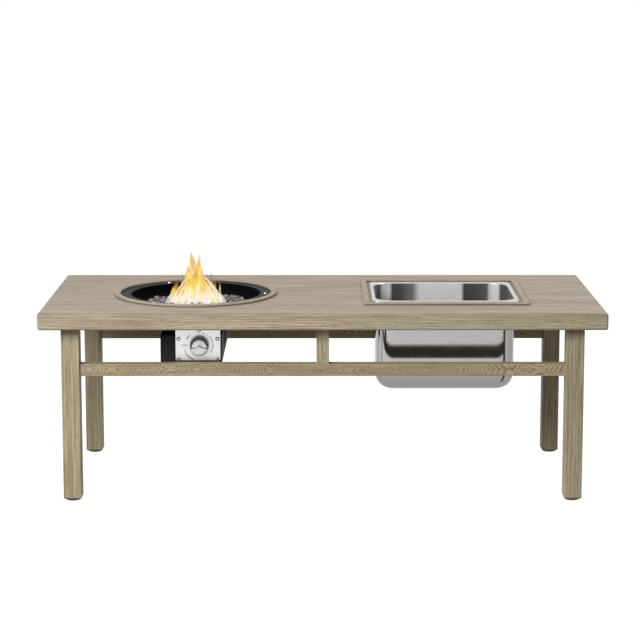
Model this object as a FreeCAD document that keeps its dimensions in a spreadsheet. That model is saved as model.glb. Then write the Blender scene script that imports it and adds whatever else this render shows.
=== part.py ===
import FreeCAD, Part
import math
import os
import re

import Sketcher
from FreeCAD import Placement, Rotation, Vector

# Fire pit table: a wooden slab on four legs, with a gas fire bowl and an ice bucket let into it.
# Frame: +X along the table, -Y the front with the control knob, +Z up, the floor at zero.
# All sizes are in millimetres.

doc = FreeCAD.newDocument("FirePitTable")

# Driving sizes, each with what it measures
sizes = {
    "tableLength": 1524,  # deck, left to right
    "tableWidth": 660,  # deck, front to back
    "tableHeight": 524,  # floor to deck
    "slabThickness": 45.5,  # deck down to the underside of the edge boards
    "panelThickness": 22,  # the deck panel alone
    "edgeRound": 6.5,  # rounding of the slab's outer edges
    "sideBoardWidth": 110,  # boards under the front and back edges
    "endBoardWidth": 116,  # boards under the two short edges
    "battenWidth": 44,
    "battenThickness": 18,
    "leftBattenGap": 39,  # bowl's cut to the left batten
    "rightBattenGap": 14.5,  # bucket's cut to the right batten
    "legSize": 48.5,
    "legInsetX": 57.75,  # deck's short edge to the leg
    "legInsetY": 37.75,  # deck's long edge to the leg
    "legChamfer": 5,
    "legRound": 2,
    "padRadius": 19,
    "padThickness": 4,
    "nailRadius": 1.5,
    "nailLength": 18,
    "stretcherSize": 33,
    "stretcherDrop": 146,  # deck down to the stretchers' top
    "postWidth": 34,
    "woodRound": 1.5,  # small rounding of stretchers, posts and trims
    "dowelRadius": 5,
    "dowelLength": 50,
    "holeClearance": 0.15,  # round a dowel, nail or screw
    "bracketArm": 34,  # steel brackets between legs and slab
    "bracketWidth": 36,
    "bracketSheet": 3,
    "bracketUpScrew": 9.5,  # leg to the screw that goes up into the board
    "bracketSideScrew": 21,  # slab down to the screw that goes into the leg
    "screwRadius": 2.2,
    "screwHeadRadius": 4.5,
    "screwHeadHeight": 2.4,
    "screwLength": 18,
    "trimHeight": 7.2,
    "trimWidth": 15.5,
    "bowlInset": 405,  # deck's left end to the bowl's axis
    "bowlShift": -6,  # bowl's axis from the deck's middle, front to back
    "bowlRadius": 180,  # inside the fire bowl's wall
    "bowlDepth": 42,  # deck down to the bowl's floor
    "bowlSheet": 1.2,
    "bowlFlange": 31,
    "bowlCorner": 28,  # inner rounding between wall and floor
    "bowlMouth": 3,  # rounding at the flange's inner edge
    "gasketThickness": 0.8,
    "gasketWidth": 20,
    "trimGap": 1,  # flange to trim ring
    "bowlCutGap": 6.8,  # bowl wall to the panel's cut
    "shroudRadius": 108,  # tapered underbody, top
    "shroudTipRadius": 73.5,  # tapered underbody, bottom
    "shroudHeight": 150,
    "shroudFlange": 24,
    "shroudSheet": 1.2,
    "hubRadius": 14,
    "hubHeight": 18,
    "neckRadius": 8.5,
    "neckLength": 14,
    "neckBore": 6,
    "burnerRadius": 70,
    "burnerTube": 7,
    "burnerRise": 13,  # bowl floor up to the ring tube's middle
    "spokeRadius": 4,
    "portRadius": 1.2,
    "portCount": 12,
    "lockNutRadius": 13,
    "lockNutHeight": 7,
    "mixerRadius": 11,
    "mixerWall": 2.4,
    "mixerLength": 56,
    "airWindowRadius": 5,
    "airWindowRise": 20,  # mixer tube's foot up to the air windows
    "jetRadius": 6,
    "jetHead": 12,
    "jetBore": 0.8,
    "tubeRadius": 4,
    "tubeTurn": 60,  # bowl's axis forward to the tube's first bend
    "tubeSag": 24,  # jet down to the tube's lowest bend
    "tubeBend": 14,
    "tubeSocket": 6,
    "grommetGap": 2,  # round the tube and the lead where they go through a wall
    "rockWidth": 32,
    "rockHeight": 19.5,
    "rockGap": 2.4,
    "innerRockRing": 98,
    "outerRockRing": 132,
    "flameHeight": 120,  # tallest tongue above the deck
    "flameCore": 60,  # radius of the fire's middle at its foot
    "tallTongueRadius": 15,
    "tallTongueReach": 12,
    "ringTongueRadius": 15,
    "ringTongueHeight": 74,
    "plateSetback": 89,  # deck's front edge to the faceplate
    "plateSheet": 1.5,
    "plateWidth": 121.5,
    "plateBottomDrop": 144.2,  # deck down to the faceplate's lower edge
    "plateShift": 18.5,  # bowl's axis sideways to the faceplate's middle
    "plateTab": 18,
    "tabScrewSpacing": 74,
    "tabScrewReach": 11,  # faceplate's front to the tab's screws
    "plateScrewX": 105.5,  # spacing of the faceplate's screws
    "plateScrewZ": 57,
    "plateScrewDrop": 113.5,  # deck down to the middle of the four screws
    "stemHoleRadius": 7,
    "boxWidth": 167,  # control box
    "boxGap": 16.5,  # control box's back to the tapered underbody
    "boxHeight": 76,
    "boxDrop": 75.7,  # deck down to the control box's top
    "boxSheet": 1.2,
    "hangerWidth": 14,
    "hangerSheet": 2,
    "hangerReach": 35,  # sideways from the bowl's axis
    "hangerSetback": 8,  # control box's back to the hangers
    "valvePlateSheet": 2,
    "valvePlateEdge": 5.5,  # screw to the valve plate's edge
    "valveWidth": 46,
    "valveHeight": 36,
    "valveDepth": 40,
    "cupBoreRadius": 9,
    "cupBoreDepth": 14,
    "cupRadius": 8.7,
    "cupThickness": 2,
    "springRadius": 6.4,
    "springWire": 1,
    "springTurns": 5,
    "stemRadius": 3,
    "stemShoulder": 5,
    "runningClearance": 0.06,
    "stemDepth": 30,  # stem's length inside the valve
    "knobShift": 4,  # faceplate's middle sideways to the knob
    "knobDrop": 102.4,  # deck down to the knob's axis
    "knobRadius": 26,
    "knobBase": 9,
    "knobGrip": 19,
    "knobGap": 4.5,  # faceplate to the knob's back
    "knobStep": 1,  # base's edge in to the grip's
    "knobBump": 18,  # radius of the bulge on the grip's upper edge
    "knobBore": 16,
    "knobBoreGap": 1,  # stem's end to the bore's floor
    "gripDrop": 3,  # knob's axis down to the grip's upper edge
    "bulgeRise": 2.5,  # knob's axis up to the top of the bulge
    "inletSetback": 28,  # valve's front to the inlet's axis
    "inletSocket": 6,
    "inletBore": 3.6,
    "inletRadius": 7.94,
    "inletThread": 16,
    "inletNeckRadius": 6,
    "inletNutRadius": 10.5,
    "inletNutHeight": 10,
    "inletDrop": 176,  # deck down to the inlet's lower end
    "electrodeReach": 29,
    "electrodeRadius": 3.5,
    "electrodeLength": 24,
    "electrodeTip": 0.9,
    "electrodeTipReach": 4,
    "leadRadius": 1.6,
    "leadGap": 13,  # control box to the lead's sideways run
    "leadBend": 8,
    "igniterWidth": 24,
    "igniterDepth": 52,
    "igniterHeight": 26,
    "igniterSetback": 12,  # control box's front wall to the igniter
    "bucketInset": 422.5,  # deck's right end to the bucket's middle
    "bucketLength": 386,
    "bucketWidth": 298,
    "bucketDepth": 252,  # deck down to the bucket's underside
    "bucketCorner": 52,
    "bucketBase": 45,  # rounding round the bucket's floor
    "bucketSheet": 1.2,
    "rimLength": 406,
    "rimWidth": 332,
    "rimCorner": 20,
    "rimHeight": 4.5,
    "restGap": 0.3,  # a resting piece to what carries it
    "bucketCutGap": 3,
    "frameGapX": 8,  # bucket's rim to the trim frame, at the ends
    "frameGapY": 19.5,  # bucket's rim to the trim frame, at the long sides
    "frameCorner": 4,
}

# Places that follow from the sizes
places = {
    "slabUnder": "tableHeight - slabThickness",
    "panelUnder": "tableHeight - panelThickness",
    "front": "-tableWidth / 2",
    "bowlX": "bowlInset - tableLength / 2",
    "bowlY": "bowlShift",
    "bucketX": "tableLength / 2 - bucketInset",
    "plateX": "bowlX + plateShift",
    "knobX": "plateX + knobShift",
    "legX": "tableLength / 2 - legInsetX - legSize / 2",
    "legY": "tableWidth / 2 - legInsetY - legSize / 2",
    "stretcherTop": "tableHeight - stretcherDrop",
    "stretcherMiddle": "stretcherTop - stretcherSize / 2",
    "bowlFloor": "tableHeight - bowlDepth",
    "bowlUnder": "bowlFloor - bowlSheet",
    "flangeRadius": "bowlRadius + bowlFlange",
    "flangeUnder": "tableHeight + gasketThickness",
    "flangeTop": "flangeUnder + bowlSheet",
    "flangeScrewRing": "bowlRadius + bowlFlange / 2",
    "ringInner": "flangeRadius + trimGap",
    "bowlCutRadius": "bowlRadius + bowlSheet + bowlCutGap",
    "burnerMiddle": "bowlFloor + burnerRise",
    "flameFoot": "burnerMiddle + burnerTube + restGap",
    "mixerTop": "bowlUnder - lockNutHeight",
    "mixerBottom": "mixerTop - mixerLength",
    "jetBottom": "mixerBottom - jetHead",
    "shroudScrewRing": "shroudRadius - shroudFlange / 2",
    "plateFront": "front + plateSetback",
    "plateBack": "plateFront + plateSheet",
    "boxFrontInside": "plateBack + boxSheet",
    "valveFront": "boxFrontInside + valvePlateSheet",
    "valveBack": "valveFront + valveDepth",
    "boxTop": "tableHeight - boxDrop",
    "boxBack": "bowlY - shroudRadius - boxGap",
    "boxDepth": "boxBack - plateBack",
    "knobZ": "tableHeight - knobDrop",
    "plateScrewMiddle": "tableHeight - plateScrewDrop",
    "cupFront": "valveFront + runningClearance",
    "cupBack": "cupFront + cupThickness",
    "boreFloor": "valveFront + cupBoreDepth",
    "knobBack": "plateFront - knobGap",
    "valveUnder": "knobZ - valveHeight / 2",
    "tubeExitZ": "knobZ - valveHeight / 4",
    "inletTip": "tableHeight - inletDrop",
    "igniterX": "bowlX - boxWidth / 4",
    "igniterZ": "boxTop - boxSheet - igniterHeight",
    "igniterFront": "boxFrontInside + igniterSetback",
    "electrodeY": "bowlY - electrodeReach",
    "electrodeFoot": "bowlUnder - electrodeLength / 3",
    "leadRun": "boxTop - boxSheet - igniterHeight / 2",
    "inletY": "valveFront + inletSetback",
    "rimTop": "tableHeight + rimHeight",
    "rimUnder": "rimTop - bucketSheet",
    "bucketUnder": "tableHeight - bucketDepth",
    "frameLength": "rimLength + 2 * (frameGapX + trimWidth)",
    "frameWidth": "rimWidth + 2 * (frameGapY + trimWidth)",
    "leftBattenX": "bowlX + bowlCutRadius + leftBattenGap",
    "rightBattenX": "bucketX - bucketLength / 2 - bucketCutGap - rightBattenGap - battenWidth",
}

sheet = doc.addObject("Spreadsheet::Sheet", "Sizes")
for row, (name, value) in enumerate(sizes.items(), start=1):
    sheet.set(f"A{row}", name)
    sheet.set(f"B{row}", str(value))
    sheet.setAlias(f"B{row}", name)
doc.recompute()

nodes = []
touch = 0.01  # how close two places are when they count as one


# A formula of size and place names, written out for the document
def bound(formula):
    def swap(word):
        name = word[0]
        if name in places:
            return "(" + bound(places[name]) + ")"
        return "Sizes." + name if name in sizes else name

    return re.sub(r"[A-Za-z]\w*", swap, str(formula))


def number(formula):
    return float(sheet.evalExpression(bound(formula)))


def point(x, y, z):
    return Vector(number(x), number(y), number(z))


def bind(item, field, formula):
    item.setExpression(field, bound(formula))


def moveTo(item, place):
    for axis, formula in zip("xyz", place):
        bind(item, f"Placement.Base.{axis}", formula)


# Marks an object as a finished sub-part
def finish(node, item):
    item.Label = node
    nodes.append(item)
    return item


def box(name, low, size):
    item = doc.addObject("Part::Box", name)
    for field, formula in zip(("Length", "Width", "Height"), size):
        bind(item, field, formula)
    moveTo(item, low)
    return item


# A cylinder from its foot along X, Y or Z; a minus sign turns it round
def rod(name, radius, length, foot, along="Z"):
    turns = {
        "Z": Rotation(),
        "-Z": Rotation(Vector(1, 0, 0), 180),
        "Y": Rotation(Vector(1, 0, 0), -90),
        "-Y": Rotation(Vector(1, 0, 0), 90),
        "X": Rotation(Vector(0, 1, 0), 90),
        "-X": Rotation(Vector(0, 1, 0), -90),
    }
    item = doc.addObject("Part::Cylinder", name)
    bind(item, "Radius", radius)
    bind(item, "Height", length)
    item.Placement = Placement(Vector(), turns[along])
    moveTo(item, foot)
    return item


# A place on the bowl's upright axis
def onBowl(height):
    return ("bowlX", "bowlY", height)


# A place on the knob's level axis
def onKnob(depth):
    return ("knobX", depth, "knobZ")


def joined(name, items):
    item = doc.addObject("Part::MultiFuse", name)
    item.Shapes = items
    item.Refine = True
    return item


def grouped(name, items):
    item = doc.addObject("Part::Compound", name)
    item.Links = items
    return item


def cut(name, base, tools):
    item = doc.addObject("Part::Cut", name)
    item.Base = base
    item.Tool = tools[0] if len(tools) == 1 else grouped(name + "Holes", tools)
    item.Refine = True
    return item


def shared(name, items):
    item = doc.addObject("Part::MultiCommon", name)
    item.Shapes = items
    return item


def newBody(name, place=("0", "0", "0")):
    body = doc.addObject("PartDesign::Body", name)
    moveTo(body, place)
    return body


def newSketch(body, role, offset="0"):
    sketch = body.newObject("Sketcher::SketchObject", body.Name + "Sketch")
    plane = [feature for feature in body.Origin.OriginFeatures if feature.Role == role][0]
    sketch.AttachmentSupport = (plane, [""])
    sketch.MapMode = "FlatFace"
    bind(sketch, "AttachmentOffset.Base.z", offset)
    return sketch


# Fixes one end of a line to a place on the sketch
def fixPoint(sketch, line, end, x, y):
    for kind, formula, axis in (("DistanceX", x, -2), ("DistanceY", y, -1)):
        if str(formula) == "0":
            sketch.addConstraint(Sketcher.Constraint("PointOnObject", line, end, axis))
        else:
            rule = Sketcher.Constraint(kind, -1, 1, line, end, number(formula))
            bind(sketch, f"Constraints[{sketch.addConstraint(rule)}]", formula)


# A closed outline of straight edges through the given corners
def outline(sketch, corners):
    spots = [Vector(number(x), number(y), 0) for x, y in corners]
    first = sketch.GeometryCount
    for start, end in zip(spots, spots[1:] + spots[:1]):
        sketch.addGeometry(Part.LineSegment(start, end), False)
    for index in range(len(corners)):
        after = (index + 1) % len(corners)
        sketch.addConstraint(Sketcher.Constraint("Coincident", first + index, 2, first + after, 1))
    for index, (x, y) in enumerate(corners):
        fixPoint(sketch, first + index, 1, x, y)
    return sketch


def rectangle(sketch, x0, y0, x1, y1):
    return outline(sketch, [(x0, y0), (x1, y0), (x1, y1), (x0, y1)])


def centred(sketch, length, width):
    return rectangle(sketch, f"-{length} / 2", f"-{width} / 2", f"{length} / 2", f"{width} / 2")


# A rectangle about the sketch's origin with rounded corners
def roundedLoop(sketch, length, width, radius):
    halfX, halfY, turn = number(f"({length}) / 2"), number(f"({width}) / 2"), number(radius)
    innerX, innerY = halfX - turn, halfY - turn
    first = sketch.GeometryCount
    sides = [
        (Vector(-innerX, -halfY, 0), Vector(innerX, -halfY, 0), Vector(innerX, -innerY, 0)),
        (Vector(halfX, -innerY, 0), Vector(halfX, innerY, 0), Vector(innerX, innerY, 0)),
        (Vector(innerX, halfY, 0), Vector(-innerX, halfY, 0), Vector(-innerX, innerY, 0)),
        (Vector(-halfX, innerY, 0), Vector(-halfX, -innerY, 0), Vector(-innerX, -innerY, 0)),
    ]
    for index, (start, end, centre) in enumerate(sides):
        sketch.addGeometry(Part.LineSegment(start, end), False)
        circle = Part.Circle(centre, Vector(0, 0, 1), turn)
        angle = math.radians(90 * index - 90)
        sketch.addGeometry(Part.ArcOfCircle(circle, angle, angle + math.pi / 2), False)
    for index in range(8):
        after = first + (index + 1) % 8
        sketch.addConstraint(Sketcher.Constraint("Tangent", first + index, 2, after, 1))
    for index, kind in ((0, "Horizontal"), (2, "Vertical"), (4, "Horizontal"), (6, "Vertical")):
        sketch.addConstraint(Sketcher.Constraint(kind, first + index))
    for index in (3, 5, 7):
        sketch.addConstraint(Sketcher.Constraint("Equal", first + 1, first + index))
    rule = sketch.addConstraint(Sketcher.Constraint("Radius", first + 1, turn))
    bind(sketch, f"Constraints[{rule}]", radius)
    for line, kind, value, formula in (
        (2, "DistanceX", halfX, f"({length}) / 2"),
        (6, "DistanceX", -halfX, f"-({length}) / 2"),
        (4, "DistanceY", halfY, f"({width}) / 2"),
        (0, "DistanceY", -halfY, f"-({width}) / 2"),
    ):
        rule = sketch.addConstraint(Sketcher.Constraint(kind, -1, 1, first + line, 1, value))
        bind(sketch, f"Constraints[{rule}]", formula)
    return sketch


def circleAt(sketch, x, y, radius):
    circle = Part.Circle(Vector(number(x), number(y), 0), Vector(0, 0, 1), number(radius))
    index = sketch.addGeometry(circle, False)
    rule = sketch.addConstraint(Sketcher.Constraint("Radius", index, number(radius)))
    bind(sketch, f"Constraints[{rule}]", radius)
    if str(x) == "0" and str(y) == "0":
        sketch.addConstraint(Sketcher.Constraint("Coincident", index, 3, -1, 1))
    else:
        fixPoint(sketch, index, 3, x, y)
    return sketch


def pad(body, sketch, length):
    feature = body.newObject("PartDesign::Pad", body.Name + "Pad")
    feature.Profile = sketch
    bind(feature, "Length", length)
    sketch.Visibility = False
    return feature


# Cuts downwards from the sketch's plane and makes sure that it took something away
def pocket(body, sketch, length):
    doc.recompute()
    before = body.Shape.Volume
    feature = body.newObject("PartDesign::Pocket", body.Name + "Pocket")
    feature.Profile = sketch
    bind(feature, "Length", length)
    doc.recompute()
    if body.Shape.Volume >= before:
        raise ValueError(feature.Name + " cut nothing")
    return feature


def revolve(body, sketch):
    feature = body.newObject("PartDesign::Revolution", body.Name + "Turned")
    feature.Profile = sketch
    feature.ReferenceAxis = (sketch, ["V_Axis"])
    feature.Angle = 360
    return feature


# Names of a feature's edges whose middle and ends pass a test
def edgesWhere(feature, test):
    doc.recompute()
    found = []
    for index, edge in enumerate(feature.Shape.Edges, start=1):
        if not edge.isNull() and edge.Length > 0 and test(edge):
            found.append(f"Edge{index}")
    return found


def dress(kind, body, feature, radius, test):
    names = edgesWhere(feature, test)
    dressed = body.newObject("PartDesign::" + kind, body.Name + kind)
    dressed.Base = (feature, names)
    bind(dressed, "Radius" if kind == "Fillet" else "Size", radius)
    return dressed


def upright(edge):
    bounds = edge.BoundBox
    return bounds.ZLength > 0.9 * edge.Length and bounds.ZLength > touch


def atHeight(edge, height):
    bounds = edge.BoundBox
    return abs(bounds.ZMin - height) < touch and abs(bounds.ZMax - height) < touch


# A square-ended stick of wood with its long edges eased
def stick(name, low, size, along):
    body = newBody(name, low)
    sketch = rectangle(newSketch(body, "XY_Plane"), "0", "0", size[0], size[1])
    blank = pad(body, sketch, size[2])

    def runs(edge):
        bounds = edge.BoundBox
        lengths = {"X": bounds.XLength, "Y": bounds.YLength, "Z": bounds.ZLength}
        return lengths[along] > 0.9 * edge.Length

    dress("Fillet", body, blank, "woodRound", runs)
    return body


def screw(name, foot, along, headHeight="screwHeadHeight", length="screwLength"):
    outwards = along[1] if "-" in along else "-" + along
    head = rod(name + "Head", "screwHeadRadius", headHeight, foot, outwards)
    shank = rod(name + "Shank", "screwRadius", length, foot, along)
    return joined(name, [head, shank])


def screwHole(name, foot, along, length="screwLength"):
    return rod(name, "screwRadius + holeClearance", f"{length} + holeClearance", foot, along)


# The slab: one deck panel with four boards and two battens under it
def makePanel():
    body = newBody("Panel", ("0", "0", "panelUnder"))
    sketch = centred(newSketch(body, "XY_Plane"), "tableLength", "tableWidth")
    blank = pad(body, sketch, "panelThickness")
    thickness = number("panelThickness")
    dress("Fillet", body, blank, "edgeRound", lambda edge: upright(edge) or atHeight(edge, thickness))
    circle = circleAt(newSketch(body, "XY_Plane", "panelThickness"), "bowlX", "bowlY", "bowlCutRadius")
    pocket(body, circle, "panelThickness * 2")
    window = newBody("Window", ("bucketX", "0", "panelUnder - panelThickness"))
    loop = roundedLoop(
        newSketch(window, "XY_Plane"),
        "bucketLength + 2 * bucketCutGap",
        "bucketWidth + 2 * bucketCutGap",
        "bucketCorner + bucketCutGap",
    )
    pad(window, loop, "panelThickness * 3")
    return finish("deck_panel", cut("PanelCut", body, [window] + flangeScrewHoles()))


def makeBoards():
    halfL, halfW = "tableLength / 2", "tableWidth / 2"
    between = "tableWidth - 2 * sideBoardWidth"
    plans = {
        "front_edge_board": (f"-{halfL}", "front", "tableLength", "sideBoardWidth"),
        "back_edge_board": (f"-{halfL}", f"{halfW} - sideBoardWidth", "tableLength", "sideBoardWidth"),
        "left_edge_board": (f"-{halfL}", "front + sideBoardWidth", "endBoardWidth", between),
        "right_edge_board": (
            f"{halfL} - endBoardWidth",
            "front + sideBoardWidth",
            "endBoardWidth",
            between,
        ),
    }
    edgeX, edgeY = number(halfL), number(halfW)
    for node, (x, y, length, width) in plans.items():
        name = node.title().replace("_", "")
        body = newBody(name, (x, y, "slabUnder"))
        sketch = rectangle(newSketch(body, "XY_Plane"), "0", "0", length, width)
        blank = pad(body, sketch, "slabThickness - panelThickness")
        shiftX, shiftY = number(x), number(y)

        def outer(edge):
            bounds = edge.BoundBox
            onX = min(abs(abs(side + shiftX) - edgeX) for side in (bounds.XMin, bounds.XMax)) < touch
            onY = min(abs(abs(side + shiftY) - edgeY) for side in (bounds.YMin, bounds.YMax)) < touch
            if upright(edge):
                return onX and onY
            flatX, flatY = bounds.XLength < touch, bounds.YLength < touch
            return atHeight(edge, 0) and (flatX and onX or flatY and onY)

        dress("Fillet", body, blank, "edgeRound", outer)
        holes = []
        for index, (signX, signY) in enumerate(corners()):
            if (signY < 0) == ("front" in node) and node[0] in "fb":
                place = bracketBoardScrew(signX, signY)
                holes.append(screwHole(f"{name}Hole{index}", place, "Z"))
        if node == "front_edge_board":
            holes += [screwHole(f"TabHole{index}", place, "Z") for index, place in enumerate(tabScrews())]
        finish(node, cut(name + "Cut", body, holes) if holes else body)
    for node, x in (("left_batten", "leftBattenX"), ("right_batten", "rightBattenX")):
        name = node.title().replace("_", "")
        low = (x, "front + sideBoardWidth", "panelUnder - battenThickness")
        size = ("battenWidth", between, "battenThickness")
        finish(node, stick(name, low, size, "Y"))


# The four corners: the signs of X and Y
def corners():
    return [(-1, -1), (1, -1), (-1, 1), (1, 1)]


cornerNames = {
    (-1, -1): "front_left",
    (1, -1): "front_right",
    (-1, 1): "back_left",
    (1, 1): "back_right",
}


# Screw of a steel bracket up into the edge board
def bracketBoardScrew(signX, signY):
    reach = "legSize / 2 + bracketUpScrew"
    return (f"{signX} * legX", f"{signY} * (legY) - {signY} * ({reach})", "slabUnder - bracketSheet")


# Screw of a steel bracket into the leg
def bracketLegScrew(signX, signY):
    face = f"{signY} * (legY) - {signY} * (legSize / 2 + bracketSheet)"
    return (f"{signX} * legX", face, "slabUnder - bracketSideScrew")


def makeLegs():
    for index, (signX, signY) in enumerate(corners()):
        corner = cornerNames[(signX, signY)]
        place = (f"{signX} * legX", f"{signY} * legY", "padThickness")
        body = newBody("Leg" + corner.title().replace("_", ""), place)
        sketch = centred(newSketch(body, "XY_Plane"), "legSize", "legSize")
        blank = pad(body, sketch, "slabUnder - padThickness")
        tapered = dress("Chamfer", body, blank, "legChamfer", lambda edge: atHeight(edge, 0))
        dress("Fillet", body, tapered, "legRound", upright)
        dowel = (f"{signX} * (legX - legSize / 2)", f"{signY} * legY", "stretcherMiddle")
        towards = "Y" if signY > 0 else "-Y"
        holes = [
            rod(
                f"DowelSocket{index}",
                "dowelRadius + holeClearance",
                "dowelLength / 2 + holeClearance",
                dowel,
                "X" if signX > 0 else "-X",
            ),
            rod(
                f"NailSocket{index}",
                "nailRadius + holeClearance",
                "nailLength + holeClearance",
                place,
            ),
            screwHole(f"LegHole{index}", bracketLegScrew(signX, signY), towards),
        ]
        finish(corner + "_leg", cut(f"Leg{index}Cut", body, holes))
    pads = []
    for index, (signX, signY) in enumerate(corners()):
        foot = (f"{signX} * legX", f"{signY} * legY", "0")
        disc = rod(f"PadDisc{index}", "padRadius", "padThickness", foot)
        nail = rod(f"PadNail{index}", "nailRadius", "padThickness + nailLength", foot)
        pads.append(joined(f"Pad{index}", [disc, nail]))
    finish("foot_pads", grouped("FootPads", pads))


# Steel brackets and their screws, behind the legs' inner faces
def makeBrackets():
    brackets, screws = [], []
    for index, (signX, signY) in enumerate(corners()):
        x = f"{signX} * legX - bracketWidth / 2"
        legFace = f"{signY} * (legY) - {signY} * legSize / 2"
        armLow = legFace if signY < 0 else f"{legFace} - bracketArm"
        sheetLow = legFace if signY < 0 else f"{legFace} - bracketSheet"
        flat = box(
            f"BracketFlat{index}",
            (x, armLow, "slabUnder - bracketSheet"),
            ("bracketWidth", "bracketArm", "bracketSheet"),
        )
        drop = box(
            f"BracketDrop{index}",
            (x, sheetLow, "slabUnder - bracketArm"),
            ("bracketWidth", "bracketSheet", "bracketArm"),
        )
        up, across = bracketBoardScrew(signX, signY), bracketLegScrew(signX, signY)
        towards = "Y" if signY > 0 else "-Y"
        tools = [
            screwHole(f"BracketUpHole{index}", up, "Z"),
            screwHole(f"BracketSideHole{index}", across, towards),
        ]
        brackets.append(cut(f"Bracket{index}", joined(f"BracketBlank{index}", [flat, drop]), tools))
        screws.append(screw(f"UpScrew{index}", up, "Z"))
        screws.append(screw(f"SideScrew{index}", across, towards))
    finish("leg_brackets", grouped("LegBrackets", brackets))
    finish("bracket_screws", grouped("BracketScrews", screws))


# Stretchers between the legs, a post on each, and the dowels in their ends
def makeStretchers():
    dowels, screws = [], []
    for side, sign in (("front", -1), ("back", 1)):
        y = f"{sign} * legY"
        length = "2 * legX - legSize"
        low = (f"-({length}) / 2", f"{y} - stretcherSize / 2", "stretcherTop - stretcherSize")
        body = stick(side.title() + "Stretcher", low, (length, "stretcherSize", "stretcherSize"), "X")
        sockets = []
        for end, along in ((-1, "X"), (1, "-X")):
            foot = (f"{end} * (legX - legSize / 2)", y, "stretcherMiddle")
            sockets.append(
                rod(
                    f"{side.title()}Socket{along[-2:]}{end + 1}",
                    "dowelRadius + holeClearance",
                    "dowelLength / 2 + holeClearance",
                    foot,
                    along,
                )
            )
            start = (f"{end} * (legX - legSize / 2) - dowelLength / 2", y, "stretcherMiddle")
            dowels.append(rod(f"{side.title()}Dowel{end + 1}", "dowelRadius", "dowelLength", start, "X"))
        under = ("0", y, "stretcherTop - stretcherSize")
        reach = "stretcherSize + screwLength"
        sockets.append(screwHole(side.title() + "StretcherHole", under, "Z", reach))
        finish(side + "_stretcher", cut(side.title() + "StretcherCut", body, sockets))
        post = stick(
            side.title() + "Post",
            ("-postWidth / 2", f"{y} - postWidth / 2", "stretcherTop"),
            ("postWidth", "postWidth", "slabUnder - stretcherTop"),
            "Z",
        )
        hole = screwHole(side.title() + "PostHole", under, "Z", reach)
        finish(side + "_centre_post", cut(side.title() + "PostCut", post, [hole]))
        screws.append(screw(side.title() + "PostScrew", under, "Z", length=reach))
    finish("stretcher_dowels", grouped("StretcherDowels", dowels))
    finish("post_screws", grouped("PostScrews", screws))


# Raised wood trims round the two openings
def makeTrims():
    body = newBody("RingTrim", onBowl("tableHeight"))
    sketch = newSketch(body, "XZ_Plane")
    ring = revolve(body, rectangle(sketch, "ringInner", "0", "ringInner + trimWidth", "trimHeight"))
    height = number("trimHeight")

    def upper(edge):
        return atHeight(edge, height) and edge.Length > height

    dress("Fillet", body, ring, "woodRound", upper)
    finish("fire_ring_trim", body)
    frame = newBody("BucketFrame", ("bucketX", "0", "tableHeight"))
    sketch = newSketch(frame, "XY_Plane")
    roundedLoop(sketch, "frameLength", "frameWidth", "frameCorner")
    roundedLoop(sketch, "frameLength - 2 * trimWidth", "frameWidth - 2 * trimWidth", "frameCorner / 2")
    blank = pad(frame, sketch, "trimHeight")
    dress("Fillet", frame, blank, "woodRound", lambda edge: atHeight(edge, height))
    finish("bucket_trim_frame", frame)


def flangeScrews():
    return [
        (
            f"bowlX + flangeScrewRing * cos({turn} deg)",
            f"bowlY + flangeScrewRing * sin({turn} deg)",
            "flangeTop",
        )
        for turn in (-3, 117, 237)
    ]


def flangeScrewHoles():
    return [screwHole(f"FlangeHole{index}", place, "-Z") for index, place in enumerate(flangeScrews())]


def shroudScrews():
    return [
        (
            f"bowlX + shroudScrewRing * cos({turn} deg)",
            f"bowlY + shroudScrewRing * sin({turn} deg)",
            "bowlUnder - shroudSheet",
        )
        for turn in (30, 150, 270)
    ]


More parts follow.
